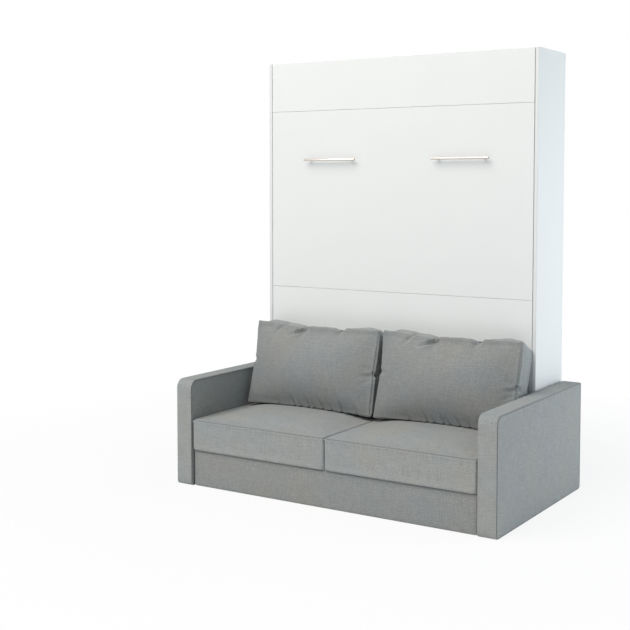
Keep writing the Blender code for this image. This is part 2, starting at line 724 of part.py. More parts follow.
def leg_swing_angles():
    """The leg frame's angle about its pivot, folded over the mattress and standing on the floor."""
    reach = math.hypot(LEG_CRANK, LEG_DROP)
    standing = math.atan2(LEG_CRANK, -LEG_DROP)
    folded_rise = MATTRESS_HIGH + LEG_TUBE_RADIUS + LEG_OVER_MATTRESS - LEG_PIVOT_BACK
    folded = -math.acos(folded_rise / reach)
    return folded, standing


def folded_place(along_crank, along_leg):
    """A point of the leg frame, drawn standing, in its folded pose about the leg pivot."""
    folded, standing = leg_swing_angles()
    turn = folded - standing
    y = -along_leg
    z = along_crank
    return (y * math.cos(turn) - z * math.sin(turn), y * math.sin(turn) + z * math.cos(turn))


def leg_route():
    """The middle line of a side tube: out along the crank, round the bend and down."""
    points = [(0, 0)]
    steps = 2 * CORNER_STEPS
    centre = (LEG_CRANK - LEG_BEND_RADIUS, LEG_BEND_RADIUS)
    for step in range(steps + 1):
        angle = math.pi / 2 * step / steps
        crank = centre[0] + LEG_BEND_RADIUS * math.sin(angle)
        down = centre[1] - LEG_BEND_RADIUS * math.cos(angle)
        points.append((crank, down))
    points.append((LEG_CRANK, LEG_DROP + LEG_TUBE_RADIUS))
    return [folded_place(crank, down) for crank, down in points]


def bent_tube(route, x, radius):
    """A round tube along a route of (y, z) points in the plane at x."""
    rings = []
    for i, (y, z) in enumerate(route):
        before = route[max(i - 1, 0)]
        after = route[min(i + 1, len(route) - 1)]
        length = math.hypot(after[0] - before[0], after[1] - before[1])
        normal = ((after[1] - before[1]) / length, -(after[0] - before[0]) / length)
        ring = []
        for step in range(SMALL_ROUND_STEPS):
            angle = math.tau * step / SMALL_ROUND_STEPS
            out = radius * math.sin(angle)
            ring.append((x + radius * math.cos(angle), y + out * normal[0], z + out * normal[1]))
        rings.append(ring)
    return loft(rings)


def cross_bar(middle, radius, half_width):
    """A round bar along X through the joint's axis, for an eye or its bore."""
    return turned([(radius, middle - half_width), (radius, middle + half_width)], across(0, 0))


def make_leg_frame(finish, leg_axis):
    """Two cranked side tubes and the cross bar that stands on the floor."""
    steel = finish["bed_steel"]
    eye_half = LEG_EYE_WIDTH / 2
    for name, side in SIDES:
        line = side * LEG_LINE
        tube = bent_tube(leg_route(), line, LEG_TUBE_RADIUS)
        leg = add_piece("leg_" + name, tube, steel, leg_axis, smooth=True)
        bore_half = eye_half + OVERRUN
        combine(leg, cross_bar(line, LEG_EYE_RADIUS, eye_half), 'UNION')
        combine(leg, cross_bar(line, LEG_BORE_RADIUS, bore_half), 'DIFFERENCE')
    y, z = folded_place(LEG_CRANK, LEG_DROP)
    reach = LEG_LINE - LEG_TUBE_RADIUS - TOUCH
    bar = turned([(LEG_TUBE_RADIUS, -reach), (LEG_TUBE_RADIUS, reach)], across(y, z), SMALL_ROUND_STEPS)
    add_piece("leg_crossbar", bar, steel, leg_axis, smooth=True)


def make_leg_brackets(finish, bed):
    """Plates at the frame's foot with the pins that the leg frame turns on."""
    tip = LEG_BRACKET_TIP_RADIUS
    foot = LEG_PIVOT_ALONG + tip
    outline = rounded([
        ((-LEG_BRACKET_FRONT, LEG_PIVOT_ALONG - LEG_BRACKET_ROOT), HINGE_CORNER),
        ((RAIL_HIGH, LEG_PIVOT_ALONG - LEG_BRACKET_ROOT), HINGE_CORNER),
        ((LEG_PIVOT_BACK + tip, LEG_PIVOT_ALONG - tip), tip - HINGE_CORNER),
        ((LEG_PIVOT_BACK + tip, foot), tip - HINGE_CORNER),
        ((-LEG_BRACKET_FRONT, FRAME_FOOT), HINGE_CORNER),
    ])
    inner = FRAME_HALF + TOUCH
    eye_inner = HINGE_PLATE_OUT + LEG_SPACER_LENGTH
    eye_outer = LEG_LINE + LEG_EYE_WIDTH / 2 + SLIDING_GAP
    for name, side in SIDES:
        shape = extruded(outline, side * inner, side * HINGE_PLATE_OUT, side_plate)
        bracket = add_piece("leg_bracket_" + name, shape, finish["zinc_steel"], bed)
        profile = [
            (LEG_SPACER_RADIUS, side * (inner + STEEL_PLATE / 2)),
            (LEG_SPACER_RADIUS, side * eye_inner),
            (LEG_PIN_RADIUS, side * eye_inner),
            (LEG_PIN_RADIUS, side * eye_outer),
            (LEG_HEAD_RADIUS, side * eye_outer),
            (LEG_HEAD_RADIUS, side * (eye_outer + LEG_HEAD)),
        ]
        combine(bracket, turned(profile, across(LEG_PIVOT_BACK, LEG_PIVOT_ALONG)), 'UNION')


# Gas springs, drawn hanging down from the upper stud

def spring_line():
    """The spring's length and its tilt from the vertical with the bed folded up."""
    back = SPRING_STUD_BACK - SPRING_MOUNT_BACK
    up = -SPRING_STUD_DOWN - SPRING_MOUNT_UP
    return math.hypot(back, up), math.atan2(back, -up)


def make_gas_springs(finish):
    """A cylinder and rod on each side, between the cabinet and the bed's hinge plate."""
    length, tilt = spring_line()
    y = PIVOT_Y + SPRING_MOUNT_BACK
    z = PIVOT_HEIGHT + SPRING_MOUNT_UP
    eye_half = SPRING_EYE_WIDTH / 2
    for name, side in SIDES:
        axis = add_axis("spring_axis_" + name, (side * SPRING_LINE, y, z), tilt=tilt)
        tube = turned([
            (SPRING_NECK_RADIUS, SPRING_NECK_TOP),
            (SPRING_NECK_RADIUS, SPRING_NECK_END),
            (CYLINDER_RADIUS, SPRING_NECK_END + SPRING_SHOULDER),
            (CYLINDER_RADIUS, CYLINDER_LENGTH),
            (CYLINDER_BORE_RADIUS, CYLINDER_LENGTH),
            (CYLINDER_BORE_RADIUS, CYLINDER_BORE_TOP),
        ], hanging)
        cylinder = add_piece("spring_cylinder_" + name, tube, finish["spring_black"], axis, smooth=True)
        combine(cylinder, cross_bar(0, SPRING_EYE_RADIUS, eye_half), 'UNION')
        combine(cylinder, cross_bar(0, SPRING_BORE_RADIUS, eye_half + OVERRUN), 'DIFFERENCE')
        rod_top = CYLINDER_LENGTH - ROD_HOLD
        stem = turned([(ROD_RADIUS, rod_top), (ROD_RADIUS, length)], hanging, SMALL_ROUND_STEPS)
        rod = add_piece("spring_rod_" + name, stem, finish["spring_rod"], axis, smooth=True)
        fitting_ends = [(ROD_FITTING_RADIUS, -eye_half), (ROD_FITTING_RADIUS, eye_half)]
        combine(rod, turned(fitting_ends, across(0, -length)), 'UNION')


# Sofa

def make_arms(finish):
    """Upholstered arms from the wall to the sofa's front."""
    outline = rounded([
        ((SOFA_FRONT, 0), ARM_FOOT_ROUND),
        ((REAR, 0), ARM_FOOT_ROUND),
        ((REAR, ARM_HEIGHT), ARM_REAR_ROUND),
        ((SOFA_FRONT, ARM_HEIGHT), ARM_FRONT_ROUND),
    ], steps=2 * CORNER_STEPS)
    for name, side in SIDES:
        shape = extruded(outline, side * ARM_INNER, side * ARM_OUTER, side_plate)
        arm = add_piece("arm_" + name, shape, finish["grey_fabric"], smooth=True)
        break_edges(arm, ARM_PIPING_ROUND, segments=2)


def make_sofa_base(finish):
    """Upholstered front board, and the boards behind it that carry the seat."""
    board = finish["sofa_board"]
    deck_low = BASE_HEIGHT - BOARD
    frame_top = deck_low - TOUCH
    front_back = BASE_FRONT_Y + BASE_FRONT_THICKNESS
    add_board("base_front", (-BASE_HALF, BASE_FRONT_Y, 0), (BASE_HALF, front_back, BASE_HEIGHT),
              finish["grey_fabric"], edge=BASE_FRONT_ROUND)
    rear_face = BASE_BACK_Y - BOARD
    add_board("base_back", (-BASE_HALF, rear_face, 0), (BASE_HALF, BASE_BACK_Y, frame_top), board)
    front_y = front_back + TOUCH
    back_y = rear_face - TOUCH
    spacer_back = CABINET_FRONT - ARM_SPACER_BACK
    for name, side in SIDES:
        near, far = sorted((side * (BASE_HALF - BOARD), side * BASE_HALF))
        add_board("base_side_" + name, (near, front_y, 0), (far, back_y, frame_top), board)
        near, far = sorted((side * (BASE_HALF + TOUCH), side * (ARM_INNER - TOUCH)))
        low = (near, spacer_back - ARM_SPACER_LENGTH, ARM_SPACER_LOW)
        high = (far, spacer_back, ARM_SPACER_LOW + ARM_SPACER_HEIGHT)
        add_board("arm_spacer_" + name, low, high, board)
    add_board("base_rib", (-BOARD / 2, front_y, 0), (BOARD / 2, back_y, frame_top), board)
    add_board("seat_deck", (-BASE_HALF, front_y, deck_low), (BASE_HALF, BASE_BACK_Y, BASE_HEIGHT), board)


def pillow_outline(half_width, half_length, radius, draw):
    """A rounded rectangle whose sides draw in between the corners."""
    points = []
    corners = (((1, 1), (0, 1)), ((-1, 1), (-1, 0)), ((-1, -1), (0, -1)), ((1, -1), (1, 0)))
    for quarter, (corner, normal) in enumerate(corners):
        for step in range(CUSHION_CORNER_STEPS + 1):
            angle = math.pi / 2 * (quarter + step / CUSHION_CORNER_STEPS)
            x = corner[0] * (half_width - radius) + radius * math.cos(angle)
            y = corner[1] * (half_length - radius) + radius * math.sin(angle)
            points.append((x, y))
        travel = (-normal[1], normal[0])
        for step in range(1, CUSHION_SIDE_STEPS):
            share = 2 * step / CUSHION_SIDE_STEPS - 1
            pull = draw * (1 - share * share)
            x = normal[0] * (half_width - pull) + travel[0] * share * (half_width - radius)
            y = normal[1] * (half_length - pull) + travel[1] * share * (half_length - radius)
            points.append((x, y))
    return points


def make_seat_cushions(finish):
    """Boxed seat cushions with a crowned top, flat underneath."""
    outer = ARM_INNER - SEAT_ARM_GAP
    inner = SEAT_SPLIT_GAP / 2
    front = SOFA_FRONT + SEAT_SETBACK
    back = CABINET_FRONT - SEAT_BACK_GAP
    half_width = (outer - inner) / 2
    half_length = (back - front) / 2
    middle_y = (front + back) / 2
    low = BASE_HEIGHT + TOUCH
    outline = pillow_outline(half_width, half_length, SEAT_CORNER, SEAT_DRAW)
    seam = low + SEAT_BOXING
    levels = []
    for inset, rise in SEAT_FOOT_SHARES:
        levels.append((1 - inset * SEAT_ROUND / half_length, low + rise * SEAT_ROUND))
    levels.append((1, (low + seam) / 2))
    levels.append((1, seam))
    for share in CROWN_RING_SHARES:
        levels.append((share, seam + SEAT_CROWN * (1 - share ** SEAT_CROWN_POWER)))
    for name, side in SIDES:
        middle_x = side * (outer + inner) / 2
        rings = []
        for share, level in levels:
            rings.append([(middle_x + x * share, middle_y + y * share, level) for x, y in outline])
        add_piece("seat_cushion_" + name, loft(rings), finish["grey_fabric"], smooth=True)


def back_section(height_share, depth_share):
    """A point of the back cushion's section, from its foot to its head and from its rear to its front."""
    foot_y = CABINET_FRONT - BACK_FOOT_REAR - depth_share * (BACK_FOOT_FRONT - BACK_FOOT_REAR)
    head_y = CABINET_FRONT - TOUCH - depth_share * (BACK_HEAD_FRONT - TOUCH)
    head_z = SEAT_TOP + BACK_REAR_RISE + depth_share * (BACK_FRONT_RISE - BACK_REAR_RISE)
    y = foot_y + height_share * (head_y - foot_y)
    foot_z = SEAT_TOP + TOUCH
    z = foot_z + height_share * (head_z - foot_z)
    return y, z


def cushion_turn():
    """The axis and angle that lay a back cushion from the seat down on the floor."""
    foot = Vector(back_section(0, 1))
    head = Vector(back_section(1, 1))
    lean = math.atan2(head.y - foot.y, head.x - foot.x)
    angle = math.pi - lean
    start = (Vector(back_section(0.5, 0)) + Vector(back_section(0.5, 1))) / 2
    bed_reach = CABINET_HEIGHT - PIVOT_HEIGHT
    end = Vector((CABINET_FRONT - bed_reach - CUSHION_LANDING_GAP, CUSHION_LANDING_HEIGHT))
    chord = end - start
    middle = (start + end) / 2
    sideways = Vector((-chord.y, chord.x))
    return middle + sideways / (2 * math.tan(angle / 2)), angle


def back_cushion_levels():
    """The rings from rear to front: outline share, depth share, crown and how far the band bulges."""
    levels = []
    for share in REAR_RING_SHARES:
        levels.append((share, 0, -BACK_REAR_CROWN * (1 - share ** BACK_CROWN_POWER), 0))
    for depth_share in BAND_SHARES:
        bulge = BACK_BAND_BULGE * 4 * depth_share * (1 - depth_share)
        levels.append((1, depth_share, 0, bulge))
    for share in CROWN_RING_SHARES:
        levels.append((share, 1, BACK_FRONT_CROWN * (1 - share ** BACK_CROWN_POWER), 0))
    return levels


def make_back_cushions(finish):
    """Loose boxed back cushions that lean on the bed's front."""
    centre, _ = cushion_turn()
    axis = add_axis("back_cushion_axis", (0, centre.x, centre.y))
    half_width = BACK_WIDTH / 2
    foot = Vector(back_section(0, 1))
    head = Vector(back_section(1, 1))
    half_height = (head - foot).length / 2
    outline = pillow_outline(half_width, half_height, BACK_CORNER, BACK_DRAW)
    outward = Vector((foot.y - head.y, head.x - foot.x)).normalized()
    outermost = ARM_INNER - half_width
    middles = (("left", BACK_LEFT_ARM_GAP - outermost), ("right", outermost - BACK_RIGHT_ARM_GAP))
    for name, middle_x in middles:
        rings = []
        for share, depth_share, crown, bulge in back_cushion_levels():
            wide = share + bulge / half_width
            high = share + bulge / half_height
            ring = []
            for x, v in outline:
                height_share = (v * high / half_height + 1) / 2
                y, z = back_section(height_share, depth_share)
                y += outward.x * crown
                z += outward.y * crown
                ring.append((middle_x + x * wide, y - centre.x, z - centre.y))
            rings.append(ring)
        add_piece("back_cushion_" + name, loft(rings), finish["grey_fabric"], axis, smooth=True)


def main():
    """Clears the scene and builds every piece."""
    for old in list(bpy.data.objects):
        bpy.data.objects.remove(old)
    finish = make_materials()
    make_cabinet(finish)
    make_buffers(finish)
    make_wall_brackets(finish)
    make_pivot_brackets(finish)
    make_spring_mounts(finish)
    bed = add_axis("bed_axis", (0, PIVOT_Y, PIVOT_HEIGHT))
    make_front_panels(finish, bed)
    make_bed_frame(finish, bed)
    make_slats(finish, bed)
    make_mattress(finish, bed)
    make_strap(finish, bed)
    make_hinge_plates(finish, bed)
    make_handles(finish, bed)
    make_leg_brackets(finish, bed)
    leg_axis = add_axis("leg_axis", (0, LEG_PIVOT_BACK, LEG_PIVOT_ALONG), bed)
    make_leg_frame(finish, leg_axis)
    make_gas_springs(finish)
    make_arms(finish)
    make_sofa_base(finish)
    make_seat_cushions(finish)
    make_back_cushions(finish)


main()
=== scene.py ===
"""Wall bed with sofa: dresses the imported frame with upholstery, finishes, small fittings and a stage.

Metres. +X is to the right as one faces the cabinet, +Y goes into the wall and +Z goes up.
"""

import math

import bpy
import numpy as np
from mathutils import Euler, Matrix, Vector
from mathutils.bvhtree import BVHTree
from mathutils.kdtree import KDTree


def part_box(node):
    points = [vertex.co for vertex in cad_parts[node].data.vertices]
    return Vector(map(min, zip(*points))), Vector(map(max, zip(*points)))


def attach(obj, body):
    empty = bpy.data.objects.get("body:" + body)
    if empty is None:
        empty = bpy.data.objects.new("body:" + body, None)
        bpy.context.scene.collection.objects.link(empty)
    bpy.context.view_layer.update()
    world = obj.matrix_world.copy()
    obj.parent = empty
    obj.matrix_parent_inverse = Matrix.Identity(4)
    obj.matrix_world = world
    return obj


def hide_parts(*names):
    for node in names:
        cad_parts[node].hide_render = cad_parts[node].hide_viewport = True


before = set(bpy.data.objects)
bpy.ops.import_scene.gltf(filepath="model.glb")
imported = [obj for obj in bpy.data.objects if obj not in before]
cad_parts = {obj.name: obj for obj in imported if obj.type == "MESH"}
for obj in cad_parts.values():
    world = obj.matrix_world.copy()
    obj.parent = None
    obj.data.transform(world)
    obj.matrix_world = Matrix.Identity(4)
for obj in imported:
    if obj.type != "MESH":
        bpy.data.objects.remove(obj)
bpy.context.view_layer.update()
NODE_SLOTS = {name: node.material_slots[0].material.name for name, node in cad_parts.items()}

# Points of a CAD mesh that lie closer than this are one point
WELD = 0.0001

# Points that are closer to a face than this lie on it
ON_FACE = 0.0005

bl_info = {
    "name": "Wall Bed with Sofa",
    "version": (1, 0, 0),
    "blender": (4, 5, 0),
    "location": "View3D > Sidebar > Wall Bed",
    "description": "Dresses the wall bed with its upholstery, finishes, fittings and stage",
    "category": "Add Mesh",
}

SIDES = (("left", -1), ("right", 1))

# Section of a back cushion, as (Y, Z) of its corners
BACK_FOOT_FRONT = Vector((-0.0725, 0.3686))
BACK_FOOT_REAR = Vector((0.0825, 0.3686))
BACK_HEAD_FRONT = Vector((0.0195, 0.7840))
BACK_HEAD_REAR = Vector((0.1672, 0.7360))

# How far before and behind its line a crease still folds a cover
CREASE_REACH = 0.045

# How wide a cushion's seam draws its cover in
SEAM_WIDTH = 0.0040

# Distance between the cuts that let the flat faces of padded boards bend
PADDING_PITCH = 0.03


# Sizes and colours that a user would change

class BedSofaShape(bpy.types.PropertyGroup):
    """Sizes of the upholstery and the fittings."""
    cloth_cell: bpy.props.FloatProperty(
        name="Cloth cell", description="Size of the mesh cells that the cushions are filled on",
        default=0.009, unit='LENGTH')
    fill_pressure: bpy.props.FloatProperty(
        name="Filling pressure", description="How hard the filling pushes the covers out", default=4.0)
    fill_reach: bpy.props.FloatProperty(
        name="Filling reach", description="The furthest that the filling may push a cover",
        default=0.022, unit='LENGTH')
    seam_depth: bpy.props.FloatProperty(
        name="Seam depth", description="How deep a seam draws the cover in", default=0.0028, unit='LENGTH')
    seat_crown: bpy.props.FloatProperty(
        name="Seat crown", description="How much higher a seat's middle is than its filling alone makes it",
        default=0.009, unit='LENGTH')
    welt_radius: bpy.props.FloatProperty(
        name="Welt radius", description="Radius of the fine welt in a cushion's seam",
        default=0.0013, unit='LENGTH')
    fold_height: bpy.props.FloatProperty(
        name="Fold height", description="Height of the sewn fold along the arms' edges", default=0.0016,
        unit='LENGTH')
    pinch_depth: bpy.props.FloatProperty(
        name="Pinch depth", description="Depth of the pinches in a back cushion", default=0.014,
        unit='LENGTH')
    back_belly: bpy.props.FloatProperty(
        name="Back cushion belly", description="How far a back cushion's front is rounded out",
        default=0.040, unit='LENGTH')
    head_puff: bpy.props.FloatProperty(
        name="Head puff", description="How far a back cushion's top band is filled up", default=0.026,
        unit='LENGTH')
    foot_arch: bpy.props.FloatProperty(
        name="Foot arch", description="How far the seat's crown lifts the middle of a back cushion's foot",
        default=0.012, unit='LENGTH')
    band_bulge: bpy.props.FloatProperty(
        name="Band bulge", description="How far a back cushion's right band is rounded out", default=0.014,
        unit='LENGTH')
    rear_taper: bpy.props.FloatProperty(
        name="Rear taper", description="How much a back cushion's right side comes in towards its rear",
        default=0.012, unit='LENGTH')
    gather_depth: bpy.props.FloatProperty(
        name="Gather depth", description="Depth of the gathers over a back cushion's foot",
        default=0.009, unit='LENGTH')
    edge_band: bpy.props.FloatProperty(
        name="Edge band", description="Thickness of the bands in the joints between the front panels",
        default=0.0011, unit='LENGTH')
    quilt_pitch: bpy.props.FloatProperty(
        name="Quilt pitch", description="Distance between the mattress's quilting lines",
        default=0.14, unit='LENGTH')
    quilt_depth: bpy.props.FloatProperty(
        name="Quilt depth", description="Depth of the mattress's quilting lines", default=0.007,
        unit='LENGTH')


class BedSofaFinish(bpy.types.PropertyGroup):
    """Colours of the finishes."""
    fabric: bpy.props.FloatVectorProperty(
        name="Fabric", description="Colour of the sofa's cloth", subtype='COLOR', size=3,
        min=0, max=1, default=(0.347, 0.355, 0.349))
    front: bpy.props.FloatVectorProperty(
        name="Front panels", description="Colour of the white front panels", subtype='COLOR', size=3,
        min=0, max=1, default=(0.820, 0.836, 0.829))
    carcass: bpy.props.FloatVectorProperty(
        name="Cabinet", description="Colour of the cabinet's boards", subtype='COLOR', size=3,
        min=0, max=1, default=(0.775, 0.790, 0.787))
    ticking: bpy.props.FloatVectorProperty(
        name="Mattress", description="Colour of the mattress's cover", subtype='COLOR', size=3,
        min=0, max=1, default=(0.80, 0.79, 0.76))
    threads: bpy.props.FloatProperty(
        name="Threads per metre", description="How fine the sofa's cloth is woven", default=560.0)


class BedSofaStage(bpy.types.PropertyGroup):
    """Camera, lamps and floor."""
    camera_place: bpy.props.FloatVectorProperty(
        name="Camera", description="Where the camera stands", subtype='TRANSLATION', unit='LENGTH', size=3,
        default=(2.9109, -5.1055, 1.5560))
    camera_turn: bpy.props.FloatVectorProperty(
        name="Camera turn", description="The camera's rotation", subtype='EULER', unit='ROTATION', size=3,
        default=(math.radians(86.536), 0.0, math.radians(32.797)))
    camera_lens: bpy.props.FloatProperty(
        name="Lens", description="Focal length in millimetres", default=66.31)
    camera_shift: bpy.props.FloatProperty(
        name="Vertical shift", description="Vertical shift of the picture", default=-0.10)
    dome: bpy.props.FloatProperty(
        name="Dome", description="Strength of the light from all sides", default=0.31)
    key: bpy.props.FloatProperty(
        name="Key lamp", description="Power of the warm lamp high in front", default=868.0, unit='POWER')
    fill: bpy.props.FloatProperty(
        name="Side lamp", description="Power of the cool lamp behind on the right", default=117.0,
        unit='POWER')


# Selection and mesh helpers

def settle():
    """Leaves object mode on and nothing selected."""
    active = bpy.context.view_layer.objects.active
    if active is not None and active.mode != 'OBJECT':
        bpy.ops.object.mode_set(mode='OBJECT')
    bpy.ops.object.select_all(action='DESELECT')


def activate(piece):
    """Selects one piece alone."""
    settle()
    piece.select_set(True)
    bpy.context.view_layer.objects.active = piece


def open_edit(piece, kind='FACE'):
    """Opens a piece in edit mode with everything selected."""
    activate(piece)
    bpy.ops.object.mode_set(mode='EDIT')
    bpy.ops.mesh.select_mode(type=kind)
    bpy.ops.mesh.select_all(action='SELECT')


def close_edit():
    """Goes back to object mode."""
    bpy.ops.object.mode_set(mode='OBJECT')


def pick_faces(piece, test):
    """Opens a piece with only the faces selected whose middle and normal pass the test."""
    open_edit(piece)
    bpy.ops.mesh.select_all(action='DESELECT')
    close_edit()
    for face in piece.data.polygons:
        face.select = test(face.center, face.normal)
    bpy.ops.object.mode_set(mode='EDIT')


def pick_edges(piece, test):
    """Opens a piece with only the edges selected whose middle and direction pass the test."""
    open_edit(piece, 'EDGE')
    bpy.ops.mesh.select_all(action='DESELECT')
    close_edit()
    points = piece.data.vertices
    for edge in piece.data.edges:
        start, end = (points[index].co for index in edge.vertices)
        edge.select = test((start + end) / 2, (end - start).normalized())
    bpy.ops.object.mode_set(mode='EDIT')


def add_block(name, low, high):
    """A box between two corners."""
    settle()
    low, high = Vector(low), Vector(high)
    bpy.ops.mesh.primitive_cube_add(size=1, location=(low + high) / 2, scale=high - low)
    return take(name)


def add_rod(name, start, end, radius, sides=48):
    """A round bar between two points."""
    settle()
    start, end = Vector(start), Vector(end)
    turn = (end - start).to_track_quat('Z', 'Y').to_euler()
    bpy.ops.mesh.primitive_cylinder_add(vertices=sides, radius=radius, depth=(end - start).length,
                                        location=(start + end) / 2, rotation=turn)
    return take(name)


def take(name):
    """Names the primitive just added and puts its place into its mesh."""
    piece = bpy.context.active_object
    piece.name = name
    piece.data.name = name
    bpy.ops.object.transform_apply(location=True, rotation=True, scale=True)
    return piece


def copy_node(node, name):
    """A welded copy of a CAD node's mesh, as a piece of its own."""
    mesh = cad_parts[node].data.copy()
    mesh.name = name
    mesh.materials.clear()
    piece = bpy.data.objects.new(name, mesh)
    bpy.context.scene.collection.objects.link(piece)
    activate(piece)
    bpy.ops.mesh.customdata_custom_splitnormals_clear()
    open_edit(piece)
    bpy.ops.mesh.remove_doubles(threshold=WELD)
    bpy.ops.mesh.normals_make_consistent(inside=False)
    close_edit()
    return piece


def copy_piece(piece, name, shift=(0, 0, 0), mirror=False):
    """A copy with its own mesh, moved or mirrored across the middle of the bed."""
    activate(piece)
    bpy.ops.object.duplicate(linked=False)
    twin = bpy.context.active_object
    twin.name = name
    twin.data.name = name
    if mirror:
        twin.scale.x = -1
    twin.location = shift
    bpy.ops.object.transform_apply(location=True, rotation=True, scale=True)
    if mirror:
        open_edit(twin)
        bpy.ops.mesh.normals_make_consistent(inside=False)
        close_edit()
    return twin


def apply_modifier(piece, kind, **settings):
    """Adds a modifier and applies it at once."""
    activate(piece)
    modifier = piece.modifiers.new(kind.title(), kind)
    for name, value in settings.items():
        setattr(modifier, name, value)
    bpy.ops.object.modifier_apply(modifier=modifier.name)


def subdivide(piece, levels=1, plain=False):
    """Smooths a piece with applied subdivision."""
    kind = 'SIMPLE' if plain else 'CATMULL_CLARK'
    apply_modifier(piece, 'SUBSURF', levels=levels, render_levels=levels, subdivision_type=kind)


def read_points(mesh):
    """The mesh's points as an array."""
    points = np.empty(len(mesh.vertices) * 3)
    mesh.vertices.foreach_get("co", points)
    return points.reshape(-1, 3)


def read_normals(mesh):
    """The mesh's point normals as an array."""
    normals = np.empty(len(mesh.vertices) * 3)
    mesh.vertex_normals.foreach_get("vector", normals)
    return normals.reshape(-1, 3)


def write_points(mesh, points):
    """Puts an array back into the mesh's points."""
    mesh.vertices.foreach_set("co", points.ravel())
    mesh.update()


def grid_cuts(piece, axis, positions):
    """Cuts a piece by planes across one axis, so that its flat faces can bend."""
    normal = Vector((0, 0, 0))
    normal[axis] = 1
    for position in positions:
        open_edit(piece)
        spot = Vector((0, 0, 0))
        spot[axis] = position
        bpy.ops.mesh.bisect(plane_co=spot, plane_no=normal)
        close_edit()


def steps_between(low, high, pitch):
    """Evenly spaced places strictly between two ends."""
    count = max(1, round((high - low) / pitch))
    return [low + (high - low) * index / count for index in range(1, count)]


def lay_cloth(piece):
    """Unwraps a piece box by box in metres, so that the weave lies straight on each side."""
    open_edit(piece)
    bpy.ops.uv.cube_project(cube_size=2.0, correct_aspect=False, clip_to_bounds=False,
                            scale_to_bounds=False)
    close_edit()


def smooth_all(piece):
    """Smooth shading all over."""
    activate(piece)
    bpy.ops.object.shade_smooth()


def smooth_by_angle(piece, degrees=35):
    """Smooth shading with sharp edges kept."""
    activate(piece)
    bpy.ops.object.shade_smooth_by_angle(angle=math.radians(degrees))


def dress(piece, slot_name, body, *nodes):
    """Gives a finished piece the material of its record slot and its body, and hides the nodes that it
    stands for.
    """
    piece.data.materials.clear()
    piece.data.materials.append(bpy.data.materials[slot_name])
    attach(piece, body)
    if nodes:
        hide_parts(*nodes)
    return piece


# Seams, folds and filling

def rounded_loop(half_width, half_length, radius, pitch=0.006):
    """Points round a rectangle with rounded corners, about a pitch apart."""
    points = []
    for corner_x, corner_y, start in ((1, 1, 0.0), (-1, 1, 0.5), (-1, -1, 1.0), (1, -1, 1.5)):
        centre = Vector((corner_x * (half_width - radius), corner_y * (half_length - radius)))
        count = max(3, round(radius * math.pi / 2 / pitch))
        for step in range(count + 1):
            angle = math.pi * (start + 0.5 * step / count)
            points.append(centre + radius * Vector((math.cos(angle), math.sin(angle))))
    loop = []
    for index, point in enumerate(points):
        following = points[(index + 1) % len(points)]
        count = max(1, round((following - point).length / pitch))
        loop.extend(point.lerp(following, step / count) for step in range(count))
    return loop


def lay_on(piece, points, sink=0.0):
    """Points moved to the nearest place on a piece's surface, and sunk a little into it."""
    surface = BVHTree.FromPolygons([vertex.co for vertex in piece.data.vertices],
                                   [face.vertices[:] for face in piece.data.polygons])
    track = []
    for point in points:
        spot, normal, _, _ = surface.find_nearest(point)
        track.append(spot - normal * sink)
    return track


def even_out(track, rounds=4):
    """Takes the small steps out of a closed track."""
    line = [Vector(point) for point in track]
    for _ in range(rounds):
        neighbours = zip(line[-1:] + line[:-1], line[1:] + line[:1])
        line = [point.lerp((before + after) / 2, 0.5) for point, (before, after) in zip(line, neighbours)]
    return line


def search_tree(points):
    """A tree that finds the nearest of some points."""
    tree = KDTree(len(points))
    for index, point in enumerate(points):
        tree.insert(point, index)
    tree.balance()
    return tree


def distances(piece, track):
    """How far each point of a piece is from a track."""
    tree = search_tree(track)
    return np.array([tree.find(vertex.co)[2] for vertex in piece.data.vertices])


def refine(piece, track, reach):
    """Halves the mesh cells near a track."""
    near = distances(piece, track) < reach
    open_edit(piece, 'VERT')
    bpy.ops.mesh.select_all(action='DESELECT')
    close_edit()
    for vertex, chosen in zip(piece.data.vertices, near):
        vertex.select = bool(chosen)
    bpy.ops.object.mode_set(mode='EDIT')
    bpy.ops.mesh.select_mode(type='FACE')
    bpy.ops.mesh.subdivide(number_cuts=1)
    close_edit()


def draw_in(piece, track, width, depth, ridge=0.0, shade_paint=0.0):
    """Sinks a cover along a seam, with a soft ridge on both sides, and paints shade along the seam's line.
    """
    distance = distances(piece, track) / width
    shape = np.exp(-distance ** 2) - ridge * np.exp(-(distance - 2.2) ** 2 / 0.9)
    points = read_points(piece.data) - read_normals(piece.data) * (depth * shape)[:, None]
    write_points(piece.data, points)
    if shade_paint:
        # Painted shade along the seam's line, darkest at its middle
        stitches = shade_paint * np.exp(-(distance / 0.8) ** 2)
        store_painted_shade(piece.data, np.maximum(read_painted_shade(piece.data), stitches))


def read_painted_shade(mesh):
    """How much painted shade lies at each point of a mesh, kept in its Seam attribute: in seams, folds and
    over shaded faces.
    """
    shade_values = np.zeros(len(mesh.vertices), dtype=np.float32)
    if "Seam" in mesh.attributes:
        mesh.attributes["Seam"].data.foreach_get("value", shade_values)
    return shade_values


def store_painted_shade(mesh, shade_values):
    """Stores the painted shade in the mesh's Seam attribute."""
    if "Seam" not in mesh.attributes:
        mesh.attributes.new("Seam", 'FLOAT', 'POINT')
    mesh.attributes["Seam"].data.foreach_set("value", shade_values.astype(np.float32))


def add_painted_shade(mesh, shade):
    """Lays more painted shade over what a mesh has already."""
    store_painted_shade(mesh, 1 - (1 - read_painted_shade(mesh)) * (1 - shade))


